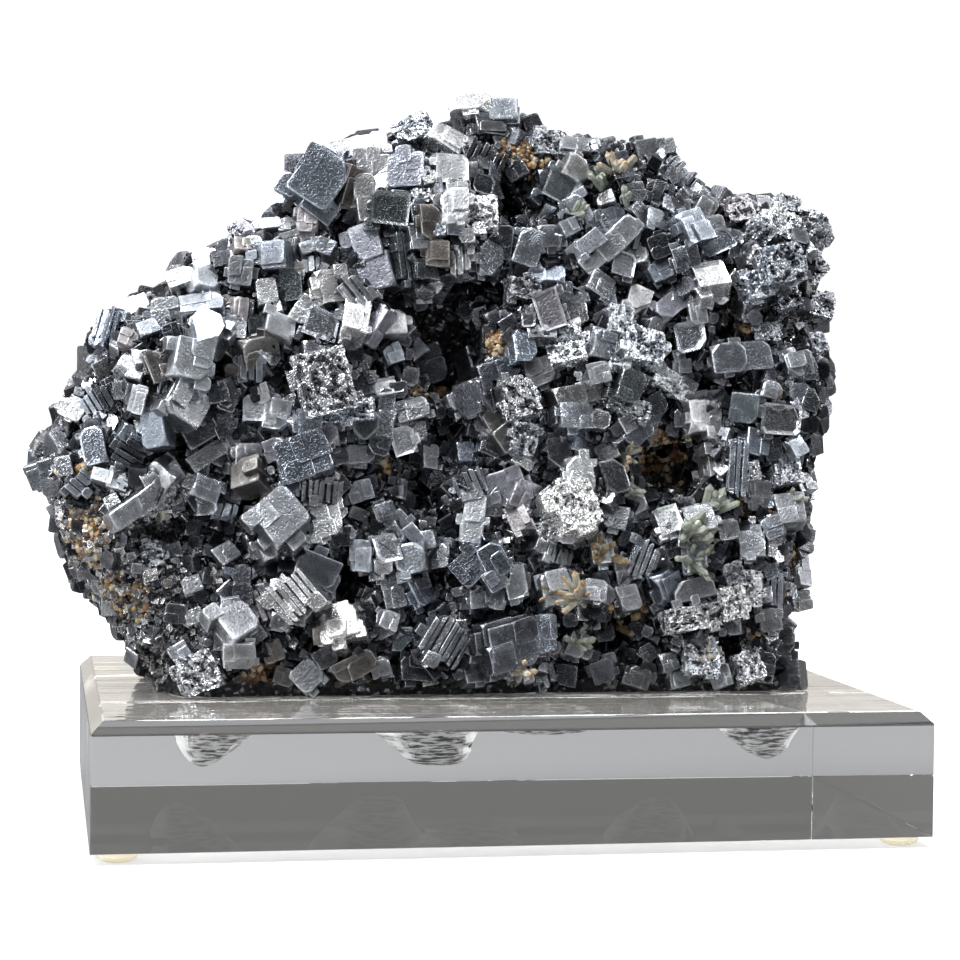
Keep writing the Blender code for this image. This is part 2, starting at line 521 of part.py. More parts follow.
def add_pocket_cone(bm, pocket, clearance, top, seed):
    """Adds the uneven tapered plug of a pocket, drawn in by a clearance and standing up to a height."""
    x, y, mouth, floor, depth = pocket
    low = BLOCK_TOP - depth + clearance
    taper = (mouth - floor) / depth
    upper = floor + taper * (top - (BLOCK_TOP - depth)) - clearance
    lower = max(POCKET_TIP_RADIUS, floor + taper * clearance - clearance)
    made = bmesh.ops.create_cone(
        bm, cap_ends=True, segments=POCKET_SIDES, radius1=lower * MM, radius2=upper * MM,
        depth=(top - low) * MM, matrix=Matrix.Translation(Vector((x, y, 0.5 * (low + top))) * MM),
    )
    chance = random.Random(seed)
    swings = [1.0 + chance.uniform(-POCKET_ROUGHNESS, POCKET_ROUGHNESS) for _ in range(POCKET_SIDES)]
    for vertex in made["verts"]:
        away = vertex.co.xy - Vector((x, y)) * MM
        side = round(math.atan2(away.y, away.x) / math.tau * POCKET_SIDES) % POCKET_SIDES
        vertex.co.xy = Vector((x, y)) * MM + away * swings[side]


def build_specimen(collection, cutters, material):
    """The whole natural piece as one solid: matrix, crystals, a flat seat and the points in the block."""
    specimen = build_matrix(cutters)
    shapes = new_collection("crystals")
    shapes.hide_render = True
    tree = BVHTree.FromObject(specimen, bpy.context.evaluated_depsgraph_get())
    for index, crystal in enumerate(FRONT_CRYSTALS):
        make_crystal(f"front_{index}", crystal, Matrix.Translation(seen_on(tree, crystal)), shapes)
    chance = random.Random(SHELL_SEED)
    for index, facing in enumerate(shell_facings(tree)):
        make_crystal(f"shell_{index}", shell_crystal(chance), facing, shapes)
    boolean(specimen, shapes, "UNION")
    keep_largest(specimen)
    bm = bmesh.new()
    under = Vector((0.0, 0.0, SEAT_HEIGHT - 0.5 * SEAT_CUTTER[2]))
    sized = Matrix.Diagonal((*(side * MM for side in SEAT_CUTTER), 1.0))
    bmesh.ops.create_cube(bm, size=1.0, matrix=Matrix.Translation(under * MM) @ sized)
    boolean(specimen, as_helper(object_from_bmesh("seat_cutter", bm, cutters)), "DIFFERENCE")
    keep_largest(specimen)
    for index, pocket in enumerate(POCKETS):
        bm = bmesh.new()
        add_pocket_cone(bm, pocket, POINT_CLEARANCE, SEAT_HEIGHT + POINT_ROOT, index)
        boolean(specimen, as_helper(object_from_bmesh(f"point_{index}", bm, cutters)), "UNION")
    cutters.objects.unlink(specimen)
    collection.objects.link(specimen)
    specimen.name = "galena_specimen"
    specimen.data.materials.clear()
    specimen.data.materials.append(material)


def build_block(collection, cutters, material):
    """The clear block: rounded upright corners, a chamfer round its top, and the ground pockets."""
    bm = bmesh.new()
    sides = Matrix.Diagonal((BLOCK_WIDTH * MM, BLOCK_DEPTH * MM, BLOCK_HEIGHT * MM, 1.0))
    bmesh.ops.create_cube(bm, size=1.0, matrix=sides)
    upright = [edge for edge in bm.edges if abs(edge.verts[0].co.z - edge.verts[1].co.z) > MM]
    bmesh.ops.bevel(
        bm, geom=upright, offset=BLOCK_CORNER_RADIUS * MM,
        segments=BLOCK_CORNER_STEPS, profile=0.5, affect="EDGES",
    )
    top = 0.5 * BLOCK_HEIGHT * MM
    rim = [edge for edge in bm.edges if all(abs(vertex.co.z - top) < WELD * MM for vertex in edge.verts)]
    bmesh.ops.bevel(bm, geom=rim, offset=BLOCK_CHAMFER * MM, segments=1, affect="EDGES")
    centre = Vector((BLOCK_CENTRE_X, 0.0, 0.5 * (BLOCK_BOTTOM + BLOCK_TOP))) * MM
    bmesh.ops.translate(bm, verts=bm.verts, vec=centre)
    block = object_from_bmesh("base_block", bm, collection, material)
    for index, pocket in enumerate(POCKETS):
        bm = bmesh.new()
        add_pocket_cone(bm, pocket, 0.0, BLOCK_TOP + CUTTER_RISE, index)
        boolean(block, as_helper(object_from_bmesh(f"pocket_{index}", bm, cutters)), "DIFFERENCE")


def build_feet(collection, material):
    """Four turned bumper feet, set in from the block's corners."""
    outer, inner = 0.5 * FOOT_DIAMETER * MM, 0.5 * FOOT_FLAT_DIAMETER * MM
    height = FOOT_HEIGHT * MM
    side = [(wide * outer, tall * height) for wide, tall in FOOT_RIM]
    profile = [(0.0, height), (outer, height), *side, (inner, 0.0), (0.0, 0.0)]
    across = 0.5 * BLOCK_WIDTH - FOOT_INSET
    deep = 0.5 * BLOCK_DEPTH - FOOT_INSET
    corners = {
        "foot_front_left": (-across, -deep), "foot_front_right": (across, -deep),
        "foot_back_left": (-across, deep), "foot_back_right": (across, deep),
    }
    for name, (x, y) in corners.items():
        mesh = bpy.data.meshes.new(name)
        edges = [(index, index + 1) for index in range(len(profile) - 1)]
        mesh.from_pydata([(radius, 0.0, z) for radius, z in profile], edges, [])
        foot = bpy.data.objects.new(name, mesh)
        foot.location = ((BLOCK_CENTRE_X + x) * MM, y * MM, 0.0)
        collection.objects.link(foot)
        mesh.materials.append(material)
        turn = foot.modifiers.new("turn", "SCREW")
        turn.steps = turn.render_steps = FOOT_STEPS
        turn.use_merge_vertices = True
        turn.merge_threshold = WELD * MM
        turn.use_smooth_shade = True


def main():
    """Builds the block, its feet and the specimen."""
    clear_scene()
    collection = new_collection(COLLECTION_NAME)
    cutters = new_collection(CUTTERS_NAME)
    build_block(collection, cutters, make_material("clear_acrylic", ACRYLIC_LOOK))
    build_feet(collection, make_material("clear_bumper", BUMPER_LOOK))
    build_specimen(collection, cutters, make_material("galena", GALENA_LOOK))


main()
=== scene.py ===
"""A galena specimen on a clear acrylic display block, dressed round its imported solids.

Blender works in metres. The tables and the dataclass fields here are in millimetres and degrees.
"""

from __future__ import annotations

import logging
import math
import random
import sys
from collections.abc import Callable
from dataclasses import dataclass, field
from enum import Enum

import bmesh
import bpy
import numpy as np
from mathutils import Matrix, Vector, noise
from mathutils.bvhtree import BVHTree


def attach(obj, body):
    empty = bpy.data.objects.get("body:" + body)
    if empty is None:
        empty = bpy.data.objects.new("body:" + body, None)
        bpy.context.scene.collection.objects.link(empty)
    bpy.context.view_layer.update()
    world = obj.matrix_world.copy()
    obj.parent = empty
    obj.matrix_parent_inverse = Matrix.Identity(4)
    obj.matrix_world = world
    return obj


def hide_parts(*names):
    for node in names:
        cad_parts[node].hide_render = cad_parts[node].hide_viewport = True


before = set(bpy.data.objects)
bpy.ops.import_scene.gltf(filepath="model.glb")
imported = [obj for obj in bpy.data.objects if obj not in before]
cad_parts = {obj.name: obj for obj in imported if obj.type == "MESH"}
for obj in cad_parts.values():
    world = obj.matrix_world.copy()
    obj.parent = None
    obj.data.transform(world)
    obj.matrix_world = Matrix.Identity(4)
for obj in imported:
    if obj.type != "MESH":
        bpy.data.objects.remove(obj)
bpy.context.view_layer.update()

MM = 0.001
BODY = "root"
LOG = logging.getLogger("galena_specimen")
Point = tuple[float, float]
Row = tuple[float, ...]
Colour = tuple[float, float, float, float]
Piece = bpy.types.Object
Look = bpy.types.Material
Socket = bpy.types.NodeSocket
Shape = bmesh.types.BMesh
Part = tuple[Shape, Vector]
Maker = Callable[[int, random.Random], Shape]


class Habit(Enum):
    """The build of a crystal."""

    CUBE = "a cube with its corners cut"
    ROUND = "a cube with broad worn edges"
    HOPPER = "a cube whose faces are sunk inside raised frames"
    PITTED = "a cube eaten into a maze of pits"
    SLAB = "a thick plate"
    BAR = "a long bar of stepped blocks"
    STACK = "parallel plates with slits between them"


class Tone(Enum):
    """The look of a crystal's faces: red, green, blue and roughness."""

    # BRIGHT and DARK are partly painted light: lighter and darker copies of the lead-grey tone for crystals that
    # stand lit or in shade, a painted highlight and painted shade on top of real differences of tarnish.
    STEEL = (0.365, 0.385, 0.42, 0.28)
    BRIGHT = (0.74, 0.75, 0.765, 0.22)
    PALE = (0.54, 0.56, 0.59, 0.31)
    BLUE = (0.29, 0.32, 0.37, 0.25)
    DARK = (0.115, 0.122, 0.138, 0.21)
    LAVENDER = (0.33, 0.335, 0.38, 0.34)
    PINK = (0.40, 0.38, 0.388, 0.42)
    TEAL = (0.17, 0.195, 0.21, 0.24)
    BROWN = (0.20, 0.19, 0.182, 0.36)


CUBE, ROUND, HOPPER, PITTED, SLAB, BAR, STACK = Habit
STEEL, BRIGHT, PALE, BLUE, DARK, LAVENDER, PINK, TEAL, BROWN = Tone


@dataclass(frozen=True)
class Crystal:
    """One crystal of the front: where it is seen, its sides and turns, its build and its look."""

    x: float
    z: float
    width: float
    height: float
    roll: float = 0.0
    tilt: float = 0.0
    turn: float = 0.0
    habit: Habit = CUBE
    tone: Tone = STEEL


def crystals(*rows: tuple) -> tuple[Crystal, ...]:
    """Crystals from rows of x, z, width, height, roll, tilt, turn, habit and tone, both left off a steel cube."""
    return tuple(Crystal(*row) for row in rows)


LEFT_SHOULDER = crystals(
    (-86.6, 74, 6.5, 5.5, 20, 0, -20, CUBE, DARK), (-84.5, 71, 4.5, 4, 20, 15, -20, CUBE, DARK),
    (-84.5, 80, 4.5, 7, -30, 5, -30, STACK, DARK), (-80.5, 86.5, 5, 5, -30, 20, -20, CUBE, PALE),
    (-76.5, 88.5, 5, 5, 30, 5, -30, STACK, STEEL), (-79.5, 71.5, 6, 4.5, 50, 5, 0, STACK, STEEL),
    (-76.5, 79, 5, 8, 10, 5, -20, ROUND, BLUE), (-73, 103, 7, 9, -15, 10, -25, STACK, BLUE),
    (-73.5, 72.3, 7, 3.5, -20, 5, 0, BAR, PALE), (-72.5, 90, 8, 6, 30, 0, 10, STACK, DARK),
    (-70.5, 77.5, 9, 6, 60, 0, 0, STACK, DARK), (-68, 107, 6, 5, 20, 35, 0, CUBE, PALE),
    (-69.5, 82.5, 6, 4, -25, 0, 0, SLAB, BLUE), (-70, 95.5, 5, 4, -30, 30, 0, CUBE, BRIGHT),
    (-64.5, 95.5, 4, 6.5, 20, 0, 20, CUBE, BROWN), (-67.5, 89, 3.5, 5.5, -15, 5, -15, CUBE, PALE),
    (-64, 85.5, 5, 12, 8, 5, -25, BAR, BLUE), (-59.5, 87.5, 9, 8, -25, 10, 20), (-62, 107, 6, 5, 10, 15, 10),
    (-58, 97, 8, 8.5, -10, 10, 15, CUBE, PALE), (-66.5, 68.5, 17, 5, 33, 0, 10, BAR, STEEL),
    (-62, 73, 8, 6, 48, 10, -10, SLAB, PALE), (-58.5, 112.5, 6, 4, 15, 40, 0, SLAB, BRIGHT),
    (-55.5, 82.5, 7.5, 6, 30, 5, 20, ROUND, DARK), (-54.5, 113, 6, 6, 0, 30, 0, ROUND, PALE),
    (-54.5, 107.5, 9, 5.5, 0, 35, -5, CUBE, BLUE), (-53.5, 102.5, 7, 7.5, -35, 10, -15, ROUND, STEEL),
    (-53.8, 77, 9, 3.5, 35, 10, 10, SLAB, STEEL), (-54.5, 70.5, 6, 4.5, -20, 10, 0),
    (-49, 78.5, 3, 9.5, 22, 0, 10, SLAB, LAVENDER), (-67, 97, 4, 3.5, 15, 25, 0, CUBE, PALE),
    (-62.3, 79.3, 3, 2.5, 30, 20, 0, CUBE, BRIGHT), (-66, 83, 4, 3, 10, 10, 0, SLAB, STEEL),
    (-76, 84, 4, 3.5, 40, 10, -20, STACK, STEEL), (-61, 103, 3.5, 3.5, 20, 10, 0, CUBE, DARK),
    (-57.5, 91, 4, 4.5, 15, 5, 10, HOPPER, BLUE), (-82.5, 75, 3.5, 4, 15, 10, -20),
    (-70, 101, 4, 3.5, -20, 15, 0, CUBE, PINK), (-66, 102, 4.5, 3.5, 30, 15, 10, SLAB, STEEL),
    (-50, 99, 5, 3, -35, 10, 10, SLAB, STEEL), (-51, 90, 4.5, 4, 10, 5, 0, CUBE, DARK),
    (-50.5, 85.5, 4.5, 5, -10, 5, 0, HOPPER, STEEL),
)
TOP_LEFT = crystals(
    (-54, 117, 5, 4.5, 0, 25, -10, CUBE, PALE), (-47, 115.5, 5, 5.5, -10, 10, 0),
    (-48, 103.5, 5, 4.5, -8, 5, 0, HOPPER, STEEL), (-46, 123, 5.5, 6, 0, 15, -20, ROUND, LAVENDER),
    (-44, 99.5, 9, 6, 10, -5, 20, CUBE, BROWN), (-45.3, 95.7, 5, 6.5, 0, 0, 0, STACK, STEEL),
    (-41, 123.7, 6, 3.5, 0, 25, 0, SLAB, PALE), (-40, 118.7, 7.5, 6, 0, 5, -10, CUBE, BLUE),
    (-41.8, 111.3, 4.5, 5.5, 10, 15, 20, CUBE, BRIGHT), (-39.5, 103.7, 6.5, 5.5, -15, 20, 0, ROUND, PALE),
    (-36, 122, 8, 3, 18, 15, 0, SLAB, PALE), (-36, 112.5, 4.5, 6, 0, 5, -5, CUBE, TEAL),
    (-34, 107.3, 4.5, 5, -30, 15, 10, CUBE, BRIGHT), (-31, 134.5, 10, 11.5, -32, 8, -22, CUBE, BLUE),
    (-31, 129, 7.5, 5, -35, 8, -20, SLAB, BLUE), (-33, 126, 4.5, 5, -5, 10, 0, CUBE, PINK),
    (-30, 104.5, 7, 6, -20, 0, 0, HOPPER, STEEL), (-28.2, 112, 7, 7, 12, 15, -5, HOPPER, BRIGHT),
    (-24.5, 140, 8, 4.5, 10, 15, 0, SLAB, STEEL), (-23.5, 111.5, 5, 9, 40, 5, 20, STACK, STEEL),
    (-23.2, 105.8, 5.5, 8.5, -12, 20, 0, CUBE, BRIGHT), (-20, 141.5, 8, 5, 0, 20, -15, CUBE, LAVENDER),
    (-19, 137.5, 7, 6, 0, 5, -10, CUBE, PALE), (-19.5, 105, 3.5, 9, -33, 5, 20, SLAB, LAVENDER),
    (-43.5, 104.5, 3.5, 4, 5, 0, 0, HOPPER, DARK), (-50, 108.5, 4.5, 3, 20, 15, 0, SLAB, PINK),
    (-47.3, 107.7, 3, 5, -5, 5, 0, CUBE, PINK), (-51, 117.5, 4, 3.5, 15, 15, 0, CUBE, DARK),
    (-46, 119.8, 6, 3, 0, 20, 0, SLAB, PINK), (-32.5, 120.5, 4.5, 2.8, 18, 15, 0, SLAB, STEEL),
    (-32.5, 117, 4, 3.5, 0, 5, 0, STACK, PALE), (-36, 116, 4, 3, 5, 15, 0, CUBE, PINK),
    (-40, 108, 3.5, 3, 15, 20, 0, CUBE, BRIGHT), (-31, 108, 3, 4.5, -5, 5, -30),
    (-37.5, 125, 3.5, 3, 0, 15, 0, CUBE, PALE), (-26, 134, 3.5, 9, -15, 0, 35, SLAB, BROWN),
    (-26.5, 119, 3.5, 4.5, 10, 5, 0, CUBE, DARK), (-29.5, 121, 4, 3.5, -25, 10, 0),
)
CREST = crystals(
    (-21.5, 131, 4.5, 9, 3, 0, 0, BAR, PALE), (-17.3, 135, 5.5, 7, 10, 15, -20, CUBE, PALE),
    (-15.5, 129, 8, 7, -5, 5, 0, HOPPER, TEAL), (-18.5, 118.7, 8, 13, 12, 8, -5, BAR, LAVENDER),
    (-13, 119, 4, 11, 8, -5, 20, STACK, TEAL), (-12.3, 136.5, 8, 7, 0, 12, -5, CUBE, LAVENDER),
    (-10.5, 146, 6, 5, 20, 15, -20, PITTED, PALE), (-8.2, 127, 4.5, 7, 8, 0, 5, CUBE, BROWN),
    (-8.7, 116.7, 5.5, 4, 0, 5, 0, CUBE, TEAL), (-5, 142.5, 8, 5, -35, 20, 0, SLAB, BRIGHT),
    (-5.7, 120, 5, 5.5, 0, 12, 0, CUBE, BROWN), (-3.6, 137.3, 7, 6.5, 0, 10, 0, HOPPER, PALE),
    (-2.4, 129.5, 5.5, 7, 0, 8, 0, CUBE, PALE), (-1, 120, 4.5, 9, 0, 5, 0, STACK, PALE),
    (1, 151, 9, 5, 0, 25, -10, ROUND, PALE), (3.6, 128, 6.5, 7.5, 0, 10, 5, PITTED, BRIGHT),
    (4.5, 145.5, 7, 5, 5, 15, 0, SLAB, DARK), (4.8, 119.5, 5.5, 9, 0, 8, 0, ROUND, STEEL),
    (7.5, 149.5, 6.5, 5.5, -5, 20, 10), (4, 141, 9, 4.5, -25, 5, 0, STACK, DARK),
    (-12.5, 139.3, 8, 2.6, 0, 15, 0, SLAB, PALE), (-5, 148, 4, 3.5, 10, 20, 0, CUBE, PALE),
    (-7, 145, 4, 3, -10, 15, 0, SLAB, LAVENDER), (-2.5, 145.5, 4.5, 3, -15, 25, 0, SLAB, PALE),
    (-8, 135.5, 3, 3, 10, 15, 0, CUBE, BRIGHT), (-2, 134.3, 5, 2.2, 0, 20, 0, SLAB, BRIGHT),
    (0.5, 137.3, 3.5, 4, 5, 10, 0), (-14, 131.5, 4, 3.5, 0, 0, 10, CUBE, TEAL),
    (-11, 128.5, 3.5, 5, 10, 5, 0, SLAB, BLUE), (-9.5, 132, 3.5, 3, 0, 15, 0, PITTED, PALE),
    (-5.5, 126.5, 3, 5.5, 0, 0, 0, PITTED, STEEL), (-2.5, 124.8, 4.5, 2.5, 0, 10, 0, SLAB, STEEL),
    (-2, 133, 4.5, 2.5, 0, 15, 0, SLAB, PALE), (-1, 116.5, 4, 3.5, 0, 5, 0, STACK, STEEL),
    (1.8, 119, 3, 6.5, 5, 5, 0, SLAB, DARK), (-23.5, 121, 3, 6, 10, 5, 10, STACK, STEEL),
    (-24.5, 137.5, 4, 3, 15, 10, 0, SLAB, DARK), (3.5, 135, 4.5, 4, -15, 5, 0, HOPPER, DARK),
    (1, 141.5, 4, 4, 10, 5, 0, CUBE, DARK), (-0.5, 149.5, 4, 3, 5, 10, 0),
    (-15.5, 124.5, 3.5, 3, 0, 10, 0, CUBE, DARK), (-10.5, 123, 3.5, 4.5, 5, 0, 5), (5.5, 133, 3.5, 3.5, 20, 5, 0),
    (0.5, 124, 3.5, 3, 0, 10, 0, CUBE, BRIGHT),
)
TOP_RIGHT = crystals(
    (8.5, 122.5, 4, 7, -5, 0, -30, SLAB, DARK), (13, 121.5, 6, 8, -20, 5, 15),
    (12.5, 113.2, 7, 4.5, 0, 5, 0, PITTED, STEEL), (15.5, 115.5, 11.5, 4, -8, 15, 0, BAR, BLUE),
    (17, 144, 6.5, 5, 0, 10, 0, PITTED, STEEL), (18, 124, 6, 5, 5, 5, 0, ROUND, LAVENDER),
    (19, 134.2, 7.5, 7.5, -28, 3, 0, HOPPER, TEAL), (18.2, 108.5, 5.5, 8.5, 15, 5, 0, HOPPER, LAVENDER),
    (23.2, 138.3, 6, 5.5, -30, 10, 10, ROUND, PALE), (23, 142.5, 6.5, 3.5, -8, 15, 0, SLAB, STEEL),
    (24.2, 130, 5.5, 6.5, 30, 10, 0), (25.5, 122, 10, 4, 35, 10, 0, BAR, STEEL), (24, 109, 5, 6.5, 15, 10, 0),
    (28.3, 114.5, 6, 5, -25, 10, 10), (31, 128, 6.5, 4.5, 20, 10, 0, CUBE, BLUE),
    (31.2, 122.5, 14.5, 5, 42, 12, 0, BAR, PALE), (32.5, 139, 5, 6, 20, 15, 0, CUBE, DARK),
    (36.5, 125, 4.5, 6.5, -15, 10, 10, STACK, STEEL), (33.5, 118.3, 5, 5.5, -15, 10, 0, HOPPER, STEEL),
    (38, 142, 6.5, 5.5, 15, 10, 10, CUBE, DARK), (37.3, 110.7, 5, 5.5, -25, 20, 0, ROUND, PALE),
    (33.3, 106.5, 5, 6, -10, 15, 0, PITTED, PALE), (38, 119.5, 5.5, 4, 10, 25, 0, SLAB, PALE),
    (42.5, 117, 5, 4.5, 25, 10, 0, CUBE, BLUE), (44.5, 139.5, 9, 4.5, -45, 15, 20, STACK, STEEL),
    (45, 110.3, 9.5, 4.5, 40, 15, 0, ROUND, LAVENDER), (48.3, 126, 6.5, 7.5, 25, 10, 30, CUBE, BLUE),
    (47.3, 120.5, 6, 5, 20, -5, -10, CUBE, BLUE), (54.5, 123.3, 8, 5, 25, 20, 0, HOPPER, BLUE),
    (53.3, 115, 7, 6.5, 15, 25, 0, HOPPER, BRIGHT), (54.8, 109, 5.5, 7.5, -20, 25, 0, HOPPER, BRIGHT),
    (58.7, 130.3, 6.5, 5.5, 15, 25, 0, PITTED, PINK), (63.5, 125.5, 7, 5, 50, 8, 0, PITTED, STEEL),
    (63.5, 114.5, 6, 6, 15, 15, 0, PITTED, STEEL), (68.5, 127, 7, 6.5, -15, 20, 0, PITTED, PALE),
    (68.7, 119, 8.5, 8, 10, 15, 10, PITTED, STEEL), (75.5, 126.5, 6.5, 7, -35, 15, 20, PITTED, STEEL),
    (76.5, 110.5, 8, 5, -15, 20, 10, PITTED, STEEL), (75, 118, 7, 6, 45, 5, 15, PITTED, STEEL),
    (22, 126, 4, 3.5, 25, 10, 0), (29, 126.5, 3.5, 5, 30, 5, 0, CUBE, BLUE),
    (30, 132, 4, 3, 20, 25, 0, CUBE, BRIGHT), (24, 111.5, 3.5, 3.5, 0, 10, 0), (21, 113, 3, 4, -5, 5, 0),
    (31, 110.5, 4, 4, 15, 10, 0), (28.5, 108.5, 4, 4.5, -20, 5, 10, HOPPER, DARK),
    (42, 122.5, 4.5, 5, 20, 10, 0, CUBE, DARK), (40.5, 128, 5, 4.5, -10, 10, 0),
    (45, 131.5, 5, 4, 30, 10, 10, STACK, DARK), (51.5, 131, 4.5, 5, -30, 10, 10),
    (35.5, 133.5, 5, 4, 10, 15, 0, SLAB, STEEL), (40, 134.5, 4, 5, -20, 5, 0, CUBE, DARK),
    (54, 127.5, 4, 3.5, 15, 15, 0, CUBE, PALE), (64, 131, 5, 3.5, 10, 30, 0, CUBE, PALE),
    (70, 132, 5.5, 3.5, -5, 30, 5, PITTED, PALE), (58, 121, 3.5, 4, -10, 5, 0, CUBE, DARK),
    (59, 117, 2.5, 5, -40, 10, 0, SLAB, BRIGHT), (50.5, 108.5, 3.5, 5, 10, 15, 10, CUBE, PALE),
    (41, 105.5, 4.5, 4, 20, 10, 0, ROUND, STEEL), (70, 111.5, 5.5, 5, 20, 10, 0, PITTED, DARK),
    (64, 120.5, 4.5, 4, -20, 10, 0, PITTED, PALE), (43, 143.5, 4, 3.5, 10, 15, 0),
    (12.5, 127, 4.5, 4, 15, 5, 0, CUBE, DARK), (11, 138, 4.5, 4, 30, 10, 0, CUBE, DARK),
    (14, 148, 3.5, 3.5, 20, 15, 0, CUBE, DARK), (26.5, 142.5, 4, 3, 5, 20, 0, CUBE, PALE),
    (34, 142.5, 4.5, 4, -15, 20, 0, PITTED, PALE), (49, 136.5, 4, 3.5, -40, 10, 10, STACK, STEEL),
)
